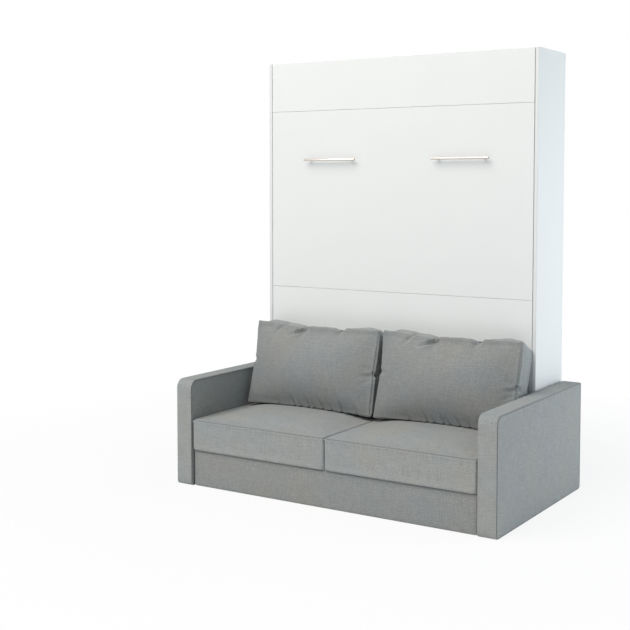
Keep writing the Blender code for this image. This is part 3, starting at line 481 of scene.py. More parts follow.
def crease(piece, start, end, facing, width, depth, ridge=0.35, shade_paint=0.0):
    """Folds a valley into a cover from start, where it is deepest, to end, with a soft ridge on each side.

    The valley follows the cover's own curve, as seen against the direction that the cover faces.
    """
    points = read_points(piece.data)
    normals = read_normals(piece.data)
    start, end, facing = np.array(start), np.array(end), np.array(facing)
    run = end - start
    run -= facing * (run @ facing)
    length = np.linalg.norm(run)
    along = np.clip((points - start) @ run / length ** 2, 0, 1)
    gap = points - start - along[:, None] * run
    forward = gap @ facing
    across = np.linalg.norm(gap - forward[:, None] * facing, axis=1) / width
    fade = (1 - along) ** 0.8 * np.exp(-(forward / CREASE_REACH) ** 4)
    shape = np.exp(-across ** 2) - ridge * np.exp(-(across - 1.9) ** 2 / 0.8)
    points -= normals * (depth * fade * shape)[:, None]
    write_points(piece.data, points)
    # Painted shade in the fold's valley, fading as the fold does
    if shade_paint:
        fold = shade_paint * fade * np.exp(-(across / 0.7) ** 2)
        store_painted_shade(piece.data, np.maximum(read_painted_shade(piece.data), fold))


def reach_out(piece, rim, width):
    """Pulls a cover's edge out to the line where its seam belongs, and what is near along with it."""
    edge = lay_on(piece, rim)
    tree = search_tree(edge)
    points = read_points(piece.data)
    for index, point in enumerate(points):
        _, nearest, distance = tree.find(point)
        if distance < 3 * width:
            points[index] += np.array(rim[nearest] - edge[nearest]) * math.exp(-(distance / width) ** 2)
    write_points(piece.data, points)


def weave_track(name, track, radius, rings=2):
    """A round welt or tape along a closed track, as a mesh."""
    curve = bpy.data.curves.new(name, 'CURVE')
    curve.dimensions = '3D'
    curve.bevel_depth = radius
    curve.bevel_resolution = rings
    spline = curve.splines.new('POLY')
    spline.points.add(len(track) - 1)
    for knot, point in zip(spline.points, track):
        knot.co = (*point, 1)
    spline.use_cyclic_u = True
    piece = bpy.data.objects.new(name, curve)
    bpy.context.scene.collection.objects.link(piece)
    activate(piece)
    bpy.ops.object.convert(target='MESH')
    piece = bpy.context.active_object
    smooth_all(piece)
    return piece


def join_pieces(pieces, name):
    """Joins several meshes into one piece."""
    settle()
    for piece in pieces:
        piece.select_set(True)
    bpy.context.view_layer.objects.active = pieces[0]
    bpy.ops.object.join()
    joined = bpy.context.active_object
    joined.name = name
    joined.data.name = name
    return joined


def remesh(piece, cell):
    """Rebuilds a piece from even cells."""
    activate(piece)
    piece.data.remesh_voxel_size = cell
    piece.data.remesh_voxel_adaptivity = 0
    bpy.ops.object.voxel_remesh()


def take_in(piece, amount):
    """Draws a cover in evenly all round, which leaves room for its filling."""
    open_edit(piece)
    bpy.ops.transform.shrink_fatten(value=-amount)
    close_edit()


def inflate(piece, pressure, reach, held, frames=20):
    """Fills a cover in a short cloth run, with the held points kept in place, and applies the result."""
    start = read_points(piece.data)
    group = piece.vertex_groups.new(name="Held")
    for index in np.nonzero(held)[0]:
        group.add([int(index)], 1.0, 'REPLACE')
    activate(piece)
    cloth = piece.modifiers.new("Filling", 'CLOTH')
    settings = cloth.settings
    settings.quality = 5
    settings.mass = 0.3
    settings.tension_stiffness = 15
    settings.compression_stiffness = 15
    settings.shear_stiffness = 5
    settings.bending_stiffness = 0.5
    settings.use_pressure = True
    settings.uniform_pressure_force = pressure
    settings.effector_weights.gravity = 0
    settings.vertex_group_mass = "Held"
    cloth.collision_settings.use_collision = False
    cloth.collision_settings.use_self_collision = False
    cloth.point_cache.frame_start = 1
    cloth.point_cache.frame_end = frames
    for number in range(1, frames + 1):
        bpy.context.scene.frame_set(number)
    bpy.ops.object.modifier_apply(modifier=cloth.name)
    bpy.context.scene.frame_set(1)
    piece.vertex_groups.clear()
    moved = read_points(piece.data) - start
    length = np.linalg.norm(moved, axis=1)
    share = np.minimum(1.0, reach / np.maximum(length, 1e-9))
    write_points(piece.data, start + moved * share[:, None])


def sharpen_corners(piece, origin, axes, halves, before, after):
    """Gives the rounded corners of a cushion's plan a smaller radius."""
    points = read_points(piece.data)
    places = [(points - np.array(origin)) @ np.array(axis) for axis in axes]
    offsets = [np.maximum(np.abs(place) - (half - before), 0) for place, half in zip(places, halves)]
    angle = np.arctan2(offsets[1], offsets[0])
    cos, sin = np.cos(angle), np.sin(angle)
    inner = before - after
    middle = inner * (cos + sin)
    curved = middle + np.sqrt(np.maximum(middle ** 2 - 2 * inner ** 2 + after ** 2, 0))
    reach = np.where(curved * np.minimum(cos, sin) > inner, curved, before / np.maximum(cos, sin))
    stretch = np.where((offsets[0] > 0) & (offsets[1] > 0), reach / before - 1, 0)
    for place, offset, axis in zip(places, offsets, axes):
        points += (np.sign(place) * offset * stretch)[:, None] * np.array(axis)
    write_points(piece.data, points)


def fit_to(piece, low, high, axes):
    """Stretches a cover along some axes until it fills its room."""
    points = read_points(piece.data)
    for axis in axes:
        start, end = points[:, axis].min(), points[:, axis].max()
        points[:, axis] = low[axis] + (points[:, axis] - start) * (high[axis] - low[axis]) / (end - start)
    write_points(piece.data, points)


def press(piece, low, high, give=0.006):
    """Keeps a cover between two corners, flattening it softly where it would pass them."""
    points = read_points(piece.data)
    for axis in range(3):
        for limit, sense in ((high[axis], 1), (low[axis], -1)):
            past = sense * points[:, axis] - (sense * limit - give)
            soft = (sense * limit - give) + give * (1 - np.exp(-np.maximum(past, 0) / give))
            points[:, axis] = np.where(past > 0, sense * soft, points[:, axis])
    write_points(piece.data, points)


# Node groups and materials

def lay(tree, kind, sockets=None, **settings):
    """Adds a node. A socket takes a number, a colour or another node's output."""
    node = tree.nodes.new(kind)
    for name, value in settings.items():
        setattr(node, name, value)
    for name, value in (sockets or {}).items():
        if isinstance(value, bpy.types.NodeSocket):
            tree.links.new(value, node.inputs[name])
        else:
            node.inputs[name].default_value = value
    return node


def reckon(tree, operation, first, second=0.0):
    """A sum on two values."""
    return lay(tree, 'ShaderNodeMath', {0: first, 1: second}, operation=operation).outputs[0]


def blend_colours(tree, mask, first, second, mode='MIX'):
    """Two colours mixed by a mask."""
    mix = lay(tree, 'ShaderNodeMix', {0: mask}, data_type='RGBA', blend_type=mode)
    for socket, value in ((mix.inputs[6], first), (mix.inputs[7], second)):
        if isinstance(value, bpy.types.NodeSocket):
            tree.links.new(value, socket)
        else:
            socket.default_value = (*value, 1)
    return mix.outputs[2]


def shaded(colour, factor):
    """A colour made lighter or darker."""
    return tuple(min(1.0, part * factor) for part in colour)


def make_group(name, inputs, outputs):
    """An empty shader group with its named sockets, and its input and output nodes."""
    tree = bpy.data.node_groups.new(name, 'ShaderNodeTree')
    for label, kind, value in inputs:
        socket = tree.interface.new_socket(name=label, in_out='INPUT', socket_type=kind)
        if value is not None:
            socket.default_value = value
    for label in outputs:
        tree.interface.new_socket(name=label, in_out='OUTPUT', socket_type='NodeSocketFloat')
    return tree, lay(tree, 'NodeGroupInput'), lay(tree, 'NodeGroupOutput')


def make_weave_group():
    """Plain weave: threads over and under, each a little thicker or thinner along its length."""
    tree, given, result = make_group("Weave", [
        ("Place", 'NodeSocketVector', None),
        ("Threads per Metre", 'NodeSocketFloat', 560.0),
    ], ["Thread", "Height"])
    scaled = lay(tree, 'ShaderNodeVectorMath', {0: given.outputs[0], "Scale": given.outputs[1]},
                 operation='SCALE').outputs[0]
    parts = lay(tree, 'ShaderNodeSeparateXYZ', {0: scaled})
    checks = lay(tree, 'ShaderNodeTexChecker', {"Vector": scaled, "Scale": 1.0}).outputs["Fac"]
    waves = []
    slubs = []
    for index, stretch in ((0, (0.9, 0.05, 1.0)), (1, (0.05, 0.9, 1.0))):
        turn = reckon(tree, 'MULTIPLY', parts.outputs[index], math.pi)
        waves.append(reckon(tree, 'ABSOLUTE', reckon(tree, 'SINE', turn)))
        drawn = lay(tree, 'ShaderNodeVectorMath', {0: scaled, 1: stretch}, operation='MULTIPLY').outputs[0]
        slub = lay(tree, 'ShaderNodeTexNoise', {"Vector": drawn, "Scale": 1.0, "Detail": 2.0})
        slubs.append(slub.outputs[0])
    for label, pair in (("Thread", slubs), ("Height", waves)):
        mix = lay(tree, 'ShaderNodeMix', {0: checks, 2: pair[0], 3: pair[1]})
        tree.links.new(mix.outputs[0], result.inputs[label])
    return tree


def make_cloud_group():
    """Soft uneven patches, for colour and gloss that vary a little."""
    tree, given, result = make_group("Patches", [
        ("Place", 'NodeSocketVector', None),
        ("Scale", 'NodeSocketFloat', 8.0),
        ("Detail", 'NodeSocketFloat', 3.0),
    ], ["Mask"])
    noise = lay(tree, 'ShaderNodeTexNoise', {
        "Vector": given.outputs[0], "Scale": given.outputs[1], "Detail": given.outputs[2]})
    spread = lay(tree, 'ShaderNodeMapRange', {"Value": noise.outputs[0], 1: 0.3, 2: 0.7})
    tree.links.new(spread.outputs[0], result.inputs["Mask"])
    return tree


def make_grain_group():
    """Fine lines along one direction, for brushed metal and for wood."""
    tree, given, result = make_group("Grain", [
        ("Place", 'NodeSocketVector', None),
        ("Stretch", 'NodeSocketVector', (4.0, 200.0, 200.0)),
    ], ["Mask", "Height"])
    drawn = lay(tree, 'ShaderNodeVectorMath', {0: given.outputs[0], 1: given.outputs[1]},
                operation='MULTIPLY').outputs[0]
    coarse = lay(tree, 'ShaderNodeTexNoise', {
        "Vector": drawn, "Scale": 1.0, "Detail": 3.0, "Distortion": 0.4})
    fine = lay(tree, 'ShaderNodeTexNoise', {"Vector": drawn, "Scale": 3.1, "Detail": 1.0})
    spread = lay(tree, 'ShaderNodeMapRange', {"Value": coarse.outputs[0], 1: 0.32, 2: 0.68})
    tree.links.new(spread.outputs[0], result.inputs["Mask"])
    tree.links.new(reckon(tree, 'ADD', coarse.outputs[0], reckon(tree, 'MULTIPLY', fine.outputs[0], 0.4)),
                   result.inputs["Height"])
    return tree


def use_group(tree, name, sockets):
    """Places a group in a material with its own values."""
    node = lay(tree, 'ShaderNodeGroup', node_tree=bpy.data.node_groups[name])
    for label, value in sockets.items():
        if isinstance(value, bpy.types.NodeSocket):
            tree.links.new(value, node.inputs[label])
        else:
            node.inputs[label].default_value = value
    return node


def new_material(name, constants):
    """A material with one Principled surface whose plain sockets are set."""
    material = bpy.data.materials.new(name)
    material.use_nodes = True
    surface = material.node_tree.nodes["Principled BSDF"]
    for label, value in constants.items():
        surface.inputs[label].default_value = value
    return material.node_tree, surface


def add_bump(tree, surface, height, distance, strength=1.0):
    """A bump on top of whatever normal the surface has already."""
    bump = lay(tree, 'ShaderNodeBump', {"Height": height, "Distance": distance, "Strength": strength})
    before = surface.inputs["Normal"]
    if before.is_linked:
        tree.links.new(before.links[0].from_socket, bump.inputs["Normal"])
    tree.links.new(bump.outputs[0], before)


def vary_gloss(tree, surface, mask, gloss, spread):
    """Makes a surface a little duller and glossier by a mask."""
    rough = lay(tree, 'ShaderNodeMapRange', {"Value": mask, 3: gloss - spread, 4: gloss + spread})
    tree.links.new(rough.outputs[0], surface.inputs["Roughness"])


def make_fabric(colour, threads):
    """Mottled grey upholstery cloth, with warm and cool drifts, and painted shade in seams, folds and shaded
    faces.
    """
    tree, surface = new_material("grey_fabric", {
        "Roughness": 0.92, "Sheen Weight": 0.12, "Sheen Roughness": 0.4, "Specular IOR Level": 0.2})
    place = lay(tree, 'ShaderNodeTexCoord')
    weave = use_group(tree, "Weave", {"Place": place.outputs["UV"], "Threads per Metre": threads})
    cloth = blend_colours(tree, weave.outputs["Thread"], shaded(colour, 0.66), shaded(colour, 1.36))
    masks = []
    for scale, detail, low, high in ((230.0, 4.0, (0.80, 0.80, 0.81), (1.16, 1.16, 1.15)),
                                     (30.0, 2.0, (0.972, 0.974, 0.978), (1.026, 1.026, 1.023)),
                                     (4.5, 1.0, (1.030, 1.004, 0.970), (0.962, 0.996, 1.026))):
        patches = use_group(tree, "Patches", {
            "Place": place.outputs["Object"], "Scale": scale, "Detail": detail})
        masks.append(patches.outputs["Mask"])
        cloth = blend_colours(tree, 1.0, cloth, blend_colours(tree, masks[-1], low, high), 'MULTIPLY')
    # The Seam attribute holds painted shade: by it the cloth is blended towards a cool dark grey
    seam = lay(tree, 'ShaderNodeAttribute', attribute_name="Seam").outputs["Fac"]
    tree.links.new(blend_colours(tree, seam, cloth, (0.046, 0.052, 0.057)), surface.inputs["Base Color"])
    add_bump(tree, surface, masks[0], 0.0004, 0.5)
    add_bump(tree, surface, weave.outputs["Height"], 0.0005, 0.7)


def make_board(name, colour, gloss):
    """White melamine board with a faint pearl in its surface."""
    tree, surface = new_material(name, {"Coat Weight": 0.05, "Coat Roughness": 0.25})
    place = lay(tree, 'ShaderNodeTexCoord').outputs["Object"]
    patches = use_group(tree, "Patches", {"Place": place, "Scale": 3.0, "Detail": 5.0})
    pearl = lay(tree, 'ShaderNodeTexNoise', {"Vector": place, "Scale": 700.0, "Detail": 2.0}).outputs[0]
    colours = blend_colours(tree, patches.outputs["Mask"], shaded(colour, 0.988), colour)
    tree.links.new(colours, surface.inputs["Base Color"])
    vary_gloss(tree, surface, patches.outputs["Mask"], gloss, 0.04)
    add_bump(tree, surface, pearl, 0.00012, 0.5)


def make_painted_steel(name, colour, gloss, peel):
    """Powder coated steel with a fine orange peel."""
    tree, surface = new_material(name, {"Metallic": 0.0, "Coat Weight": 0.15, "Coat Roughness": 0.3})
    place = lay(tree, 'ShaderNodeTexCoord').outputs["Object"]
    patches = use_group(tree, "Patches", {"Place": place, "Scale": 14.0, "Detail": 5.0})
    dimples = lay(tree, 'ShaderNodeTexNoise', {"Vector": place, "Scale": peel, "Detail": 2.0}).outputs[0]
    colours = blend_colours(tree, patches.outputs["Mask"], shaded(colour, 0.92), shaded(colour, 1.06))
    tree.links.new(colours, surface.inputs["Base Color"])
    vary_gloss(tree, surface, dimples, gloss, 0.08)
    add_bump(tree, surface, dimples, 0.0002, 0.6)


def make_zinc():
    """Zinc plated steel with a faint spangle."""
    tree, surface = new_material("zinc_steel", {"Metallic": 1.0})
    place = lay(tree, 'ShaderNodeTexCoord').outputs["Object"]
    cells = lay(tree, 'ShaderNodeTexVoronoi', {"Vector": place, "Scale": 90.0})
    tone = lay(tree, 'ShaderNodeRGBToBW', {0: cells.outputs["Color"]}).outputs[0]
    colours = blend_colours(tree, tone, (0.50, 0.51, 0.53), (0.64, 0.65, 0.66))
    tree.links.new(colours, surface.inputs["Base Color"])
    vary_gloss(tree, surface, tone, 0.38, 0.08)
    scuffs = use_group(tree, "Grain", {"Place": place, "Stretch": (160.0, 30.0, 220.0)})
    add_bump(tree, surface, scuffs.outputs["Height"], 0.00008, 0.5)


def make_bright_metal(name, colour, gloss, stretch, ends=None):
    """Brushed or ground metal; if an ends colour is given, the turned ends, which point along X, take it as
    painted shade.
    """
    tree, surface = new_material(name, {"Metallic": 1.0})
    place = lay(tree, 'ShaderNodeTexCoord').outputs["Object"]
    lines = use_group(tree, "Grain", {"Place": place, "Stretch": stretch})
    colours = blend_colours(tree, lines.outputs["Mask"], shaded(colour, 0.94), colour)
    # Painted shade: faces that point along X take the darker ends colour
    if ends:
        normal = lay(tree, 'ShaderNodeTexCoord').outputs["Normal"]
        facing = reckon(tree, 'ABSOLUTE', lay(tree, 'ShaderNodeSeparateXYZ', {0: normal}).outputs[0])
        turned = lay(tree, 'ShaderNodeMapRange', {"Value": facing, 1: 0.6, 2: 0.9})
        colours = blend_colours(tree, turned.outputs[0], colours, ends)
    tree.links.new(colours, surface.inputs["Base Color"])
    vary_gloss(tree, surface, lines.outputs["Mask"], gloss, 0.05)
    add_bump(tree, surface, lines.outputs["Height"], 0.00003, 0.5)


def make_birch():
    """Lacquered birch slats with grain along their length."""
    tree, surface = new_material("birch_slat", {
        "Coat Weight": 0.2, "Coat Roughness": 0.3, "Roughness": 0.5})
    place = lay(tree, 'ShaderNodeTexCoord').outputs["Object"]
    grain = use_group(tree, "Grain", {"Place": place, "Stretch": (3.0, 60.0, 120.0)})
    patches = use_group(tree, "Patches", {"Place": place, "Scale": 6.0, "Detail": 3.0})
    lines = blend_colours(tree, grain.outputs["Mask"], (0.62, 0.43, 0.24), (0.80, 0.63, 0.42))
    toned = blend_colours(tree, patches.outputs["Mask"], (0.92, 0.91, 0.90), (1.04, 1.03, 1.02))
    tree.links.new(blend_colours(tree, 1.0, lines, toned, 'MULTIPLY'), surface.inputs["Base Color"])
    add_bump(tree, surface, grain.outputs["Height"], 0.0001, 0.6)


def make_chipboard():
    """Raw particle board of pressed chips."""
    tree, surface = new_material("sofa_board", {"Roughness": 0.85})
    place = lay(tree, 'ShaderNodeTexCoord').outputs["Object"]
    chips = lay(tree, 'ShaderNodeTexVoronoi', {"Vector": place, "Scale": 260.0, "Randomness": 1.0})
    tone = lay(tree, 'ShaderNodeRGBToBW', {0: chips.outputs["Color"]}).outputs[0]
    colours = blend_colours(tree, tone, (0.40, 0.28, 0.16), (0.66, 0.51, 0.33))
    tree.links.new(colours, surface.inputs["Base Color"])
    add_bump(tree, surface, chips.outputs["Distance"], 0.0004, 0.6)


def make_ticking(colour):
    """Knitted mattress cover with a small raised net."""
    tree, surface = new_material("mattress_ticking", {
        "Roughness": 0.9, "Sheen Weight": 0.15, "Sheen Roughness": 0.4, "Specular IOR Level": 0.2})
    place = lay(tree, 'ShaderNodeTexCoord')
    weave = use_group(tree, "Weave", {"Place": place.outputs["UV"], "Threads per Metre": 420.0})
    net = lay(tree, 'ShaderNodeTexVoronoi', {"Vector": place.outputs["Object"], "Scale": 130.0},
              feature='DISTANCE_TO_EDGE').outputs["Distance"]
    raised = lay(tree, 'ShaderNodeMapRange', {"Value": net, 1: 0.0, 2: 0.25}).outputs[0]
    colours = blend_colours(tree, raised, shaded(colour, 0.90), shaded(colour, 1.03))
    toned = blend_colours(tree, weave.outputs["Thread"], (0.94, 0.94, 0.95), (1.03, 1.03, 1.02))
    tree.links.new(blend_colours(tree, 1.0, colours, toned, 'MULTIPLY'), surface.inputs["Base Color"])
    add_bump(tree, surface, raised, 0.0008, 0.6)
    add_bump(tree, surface, weave.outputs["Height"], 0.0003, 0.5)


def make_webbing():
    """Black woven strap with ribs along it."""
    tree, surface = new_material("strap_webbing", {"Roughness": 0.8, "Sheen Weight": 0.2})
    place = lay(tree, 'ShaderNodeTexCoord')
    weave = use_group(tree, "Weave", {"Place": place.outputs["UV"], "Threads per Metre": 700.0})
    colours = blend_colours(tree, weave.outputs["Thread"], (0.018, 0.018, 0.021), (0.055, 0.055, 0.062))
    tree.links.new(colours, surface.inputs["Base Color"])
    add_bump(tree, surface, weave.outputs["Height"], 0.0005, 0.9)


def make_rubber():
    """Soft black buffer rubber."""
    tree, surface = new_material("buffer_rubber", {"Roughness": 0.75})
    place = lay(tree, 'ShaderNodeTexCoord').outputs["Object"]
    patches = use_group(tree, "Patches", {"Place": place, "Scale": 300.0, "Detail": 3.0})
    colours = blend_colours(tree, patches.outputs["Mask"], (0.022, 0.022, 0.022), (0.045, 0.044, 0.043))
    tree.links.new(colours, surface.inputs["Base Color"])
    add_bump(tree, surface, patches.outputs["Mask"], 0.0002, 0.5)


# Operators

class WALLBED_OT_finishes(bpy.types.Operator):
    """Makes the finishes and gives each CAD node its own"""
    bl_idname = "wallbed.finishes"
    bl_label = "Finishes"

    def execute(self, context):
        finish = context.scene.bed_sofa_finish
        for material in list(bpy.data.materials):
            material.name += "_plain"
        make_weave_group()
        make_cloud_group()
        make_grain_group()
        make_fabric(tuple(finish.fabric), finish.threads)
        make_board("white_board", tuple(finish.front), 0.42)
        make_board("carcass_board", tuple(finish.carcass), 0.48)
        make_painted_steel("bed_steel", (0.36, 0.37, 0.38), 0.45, 900.0)
        make_painted_steel("spring_black", (0.022, 0.022, 0.024), 0.38, 1200.0)
        make_zinc()
        make_bright_metal("spring_rod", (0.80, 0.80, 0.81), 0.14, (900.0, 900.0, 300.0))
        # The handle's ends are painted dark brown, as painted shade
        make_bright_metal("handle_steel", (0.66, 0.61, 0.57), 0.24, (6.0, 900.0, 900.0), (0.20, 0.16, 0.13))
        make_birch()
        make_chipboard()
        make_ticking(tuple(finish.ticking))
        make_webbing()
        make_rubber()
        for name, slot_name in NODE_SLOTS.items():
            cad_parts[name].material_slots[0].material = bpy.data.materials[slot_name]
        return {'FINISHED'}


class WALLBED_OT_fronts(bpy.types.Operator):
    """Front panels with edge bands that leave a fine joint between them"""
    bl_idname = "wallbed.fronts"
    bl_label = "Front panels"

    def execute(self, context):
        band = context.scene.bed_sofa_shape.edge_band
        for name in ("bottom", "middle", "top"):
            node = "front_panel_" + name
            low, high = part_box(node)
            panel = copy_node(node, "front_" + name)
            points = read_points(panel.data)
            if name != "bottom":
                points[points[:, 2] < low.z + ON_FACE, 2] -= band
            if name != "top":
                points[points[:, 2] > high.z - ON_FACE, 2] += band
            write_points(panel.data, points)
            smooth_by_angle(panel)
            apply_modifier(panel, 'WEIGHTED_NORMAL', weight=100, keep_sharp=True)
            dress(panel, NODE_SLOTS[node], "bed", node)
        return {'FINISHED'}


class WALLBED_OT_seat_cushions(bpy.types.Operator):
    """Boxed seat cushions with a crowned top and fine seams"""
    bl_idname = "wallbed.seat_cushions"
    bl_label = "Seat cushions"

    # Height of the seam over the underside, and radius of the seam's corners
    SEAM_RISE = 0.153
    CORNER_RADIUS = 0.013
    # What the filling can't move: a line along the seam, up and down and in from the edge, and the foot
    HELD_SEAM = (0.005, 0.012)
    HELD_FOOT = 0.010
    # How much lower the top falls off towards the edges, as a share of what stands over the seam
    FALL = 0.45
    # Height of the line round the foot over the underside
    FOOT_LINE = 0.0025

    def execute(self, context):
        shape = context.scene.bed_sofa_shape
        low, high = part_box("seat_cushion_left")
        middle = (low + high) / 2
        half_x, half_y = (high.x - low.x) / 2, (high.y - low.y) / 2
        seam_level = low.z + self.SEAM_RISE
        outline = rounded_loop(half_x, half_y, self.CORNER_RADIUS)
        seam = [Vector((middle.x + x, middle.y + y, seam_level)) for x, y in outline]
        cover = copy_node("seat_cushion_left", "seat_cover_left")
        sharpen_corners(cover, middle, ((1, 0, 0), (0, 1, 0)), (half_x, half_y), before=0.022, after=0.012)
        take_in(cover, 0.003)
        remesh(cover, shape.cloth_cell * 1.06)
        points = read_points(cover.data)
        band, margin = self.HELD_SEAM
        near_seam = np.abs(points[:, 2] - seam_level) < band
        near_edge = np.maximum(np.abs(points[:, 0] - middle.x) - (half_x - margin),
                               np.abs(points[:, 1] - middle.y) - (half_y - margin)) > 0
        held = (points[:, 2] < low.z + self.HELD_FOOT) | (near_seam & near_edge)
        inflate(cover, shape.fill_pressure, shape.fill_reach, held)
        press(cover, low, high)
        subdivide(cover)
        clear = Vector((0, 0, 0.0001))
        fit_to(cover, low + clear, high - clear, (0, 1, 2))
        points = read_points(cover.data)
        across = np.abs((points[:, 0] - middle.x) / half_x).clip(0, 1)
        along = np.abs((points[:, 1] - middle.y) / half_y).clip(0, 1)
        dome = (1 - across ** 2.2) * (1 - along ** 2.6)
        above = np.maximum(points[:, 2] - seam_level, 0)
        crown = shape.seat_crown / (high.z - seam_level)
        points[:, 2] += above * ((crown + self.FALL) * dome - self.FALL)
        write_points(cover.data, points)
        corners = [point for point in seam if abs(point.x - middle.x) > half_x - self.CORNER_RADIUS
                   and abs(point.y - middle.y) > half_y - self.CORNER_RADIUS]
        foot = low.z + self.FOOT_LINE
        rim = seam + [Vector((point.x, point.y, foot)) for point in seam if point not in corners]
        for level in steps_between(low.z, seam_level, 0.02):
            rim.extend(Vector((point.x, point.y, level)) for point in corners)
        reach_out(cover, rim, 0.018)
        track = even_out(lay_on(cover, seam))
        for reach in (0.012, 0.005):
            refine(cover, track, reach)
        # The seam is drawn in, with painted shade along its line
        draw_in(cover, track, SEAM_WIDTH, shape.seam_depth, ridge=0.35, shade_paint=0.85)
        smooth_all(cover)
        lay_cloth(cover)
        laid = lay_on(cover, track, shape.welt_radius * 0.7)
        welt = weave_track("seat_welt_left", even_out(laid), shape.welt_radius)
        lay_cloth(welt)
        shift = Vector((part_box("seat_cushion_right")[0].x - low.x, 0, 0))
        twin = copy_piece(cover, "seat_cover_right", shift)
        twin_welt = copy_piece(welt, "seat_welt_right", shift)
        for name, piece, line in (("left", cover, welt), ("right", twin, twin_welt)):
            dress(piece, "grey_fabric", "root", "seat_cushion_" + name)
            dress(line, "grey_fabric", "root")
        return {'FINISHED'}


def back_point(across, up, depth, middle_x, half_width):
    """A point of a back cushion, by shares across, up and from its rear to its front."""
    rear = BACK_FOOT_REAR.lerp(BACK_HEAD_REAR, up)
    front = BACK_FOOT_FRONT.lerp(BACK_HEAD_FRONT, up)
    spot = rear.lerp(front, depth)
    return Vector((middle_x + (2 * across - 1) * half_width, spot.x, spot.y))


class WALLBED_OT_back_cushions(bpy.types.Operator):
    """Loose boxed back cushions with pinches in their seams and gathers over the seat"""
    bl_idname = "wallbed.back_cushions"
    bl_label = "Back cushions"

    # Creases on the front and the bands: start and end as shares (across, up, depth), width, share of depth
    PINCHES = (
        ((0.235, 1.00, 0.90), (0.150, 0.84, 1.0), 0.009, 0.50),
        ((0.412, 1.01, 0.85), (0.280, 0.85, 1.0), 0.0085, 1.25),
        ((0.400, 1.00, 0.95), (0.330, 0.50, 1.0), 0.024, 0.55),
        ((0.720, 1.00, 0.85), (0.665, 0.88, 1.0), 0.009, 0.50),
        ((0.700, 1.00, 0.95), (0.660, 0.62, 1.0), 0.022, 0.40),
        ((0.990, 0.50, 1.0), (0.880, 0.44, 1.0), 0.010, 0.50),
        ((0.990, 0.52, 1.0), (0.900, 0.61, 1.0), 0.012, 0.30),
        ((0.990, 0.47, 1.0), (0.870, 0.33, 1.0), 0.013, 0.35),
        ((0.010, 0.55, 1.00), (0.090, 0.53, 1.0), 0.012, 0.35),
    )
    # How far the seams leave straight lines, in metres, along the head and up both sides, and how full the
    # top band is, as shares
    HEAD_RIM = (
        (0, 0.005), (0.12, -0.005), (0.235, -0.016), (0.32, -0.018), (0.37, -0.022), (0.405, -0.018),
        (0.46, -0.008), (0.58, -0.004), (0.70, -0.011), (0.76, -0.006), (0.90, -0.005), (1, 0),
    )
    LEFT_RIM = (
        (0, 0), (0.25, 0.006), (0.45, 0.011), (0.55, 0.018), (0.64, 0.015), (0.80, 0.012), (1, 0.008),
    )
    RIGHT_RIM = (
        (0, 0), (0.25, 0.003), (0.42, 0.004), (0.51, 0.009), (0.60, 0.005), (0.80, 0.001), (1, 0),
    )
    HEAD_PUFF = (
        (0, 0.4), (0.10, 1.6), (0.20, 1.5), (0.24, 1.2), (0.30, 1.2), (0.37, 0.9), (0.405, -0.2),
        (0.47, 0.6), (0.57, 0.9), (0.67, 0.7), (0.71, 0.45), (0.76, 1.2), (0.88, 1.5), (0.96, 1.1), (1, 0.4),
    )
    # Gathers that rise from the foot: share across, height and depth, as shares
    GATHERS = (
        (0.28, 0.12, 0.5), (0.41, 0.24, 1.0), (0.46, 0.12, 0.5), (0.53, 0.28, 1.2), (0.57, 0.17, 0.7),
        (0.64, 0.22, 0.8), (0.71, 0.12, 0.5), (0.79, 0.26, 1.2), (0.90, 0.14, 0.6),
    )

    # From front to rear, in metres
    THICKNESS = 0.15
    # Power that sets how high the front is at its fullest: the lower, the nearer to the foot
    BELLY_LEVEL = 0.76
    # How much the front seam rises towards the head, and how far both seams drop at the foot
    HEAD_RISE = 0.015
    FOOT_DROP = 0.0025
    # How far the cover may stand out of its solid at each side
    ROOM = {"left": 0.002, "front": 0.045, "foot": 0.0040, "right": 0.014, "head": 0.040}
    # Painted shade on the front: how much lies on all of it, and how much more towards its foot
    FRONT_SHADE = (0.21, 0.15)

    # Directions, as (Y, Z), up along a back cushion's front and out of it
    AXES = (np.array((BACK_HEAD_FRONT - BACK_FOOT_FRONT).normalized()),
            np.array((BACK_FOOT_FRONT - BACK_HEAD_FRONT).normalized().yx) * (1, -1))

    def swell(self, piece, shape, middle_x, half_width):
        """Rounds the front out, fills the top band, lifts the foot over the seat and narrows the rear."""
        points = read_points(piece.data)
        along, out = self.AXES
        across, up, back = self.measure(points, middle_x, half_width)
        points[:, 1:] += np.maximum(0, -0.002 - back)[:, None] * out
        depth = np.clip(back / self.THICKNESS, 0, 1)
        rounded = np.sin(math.pi * np.clip(up, 0, 1) ** self.BELLY_LEVEL)
        push = shape.back_belly * rounded * (1 - np.abs(across).clip(0, 1) ** 2.2)
        points[:, 1:] += (push * depth ** 3)[:, None] * out
        share, fill = np.array(self.HEAD_PUFF).T
        lift = shape.head_puff * np.interp(across / 2 + 0.5, share, fill) * np.sin(math.pi * depth) ** 0.7
        near_head = np.clip((up - 0.72) / 0.24, 0, 1)
        points[:, 1:] += (lift * near_head ** 2)[:, None] * along
        near_foot = np.clip(1 - up / 0.25, 0, 1)
        points[:, 2] += shape.foot_arch * (1 - np.clip(across, -1, 1) ** 2) * near_foot ** 2
        points[:, 0] -= shape.rear_taper * (1 - depth) * np.clip(across, 0, 1) ** 4
        write_points(piece.data, points)

    def measure(self, points, middle_x, half_width):
        """Where points are: across from -1 to 1, up from 0 to 1, and how far before the rear, in metres."""
        along, out = self.AXES
        flat = points[:, 1:] - np.array(BACK_FOOT_FRONT)
        length = (BACK_HEAD_FRONT - BACK_FOOT_FRONT).length
        return (points[:, 0] - middle_x) / half_width, flat @ along / length, self.THICKNESS + flat @ out

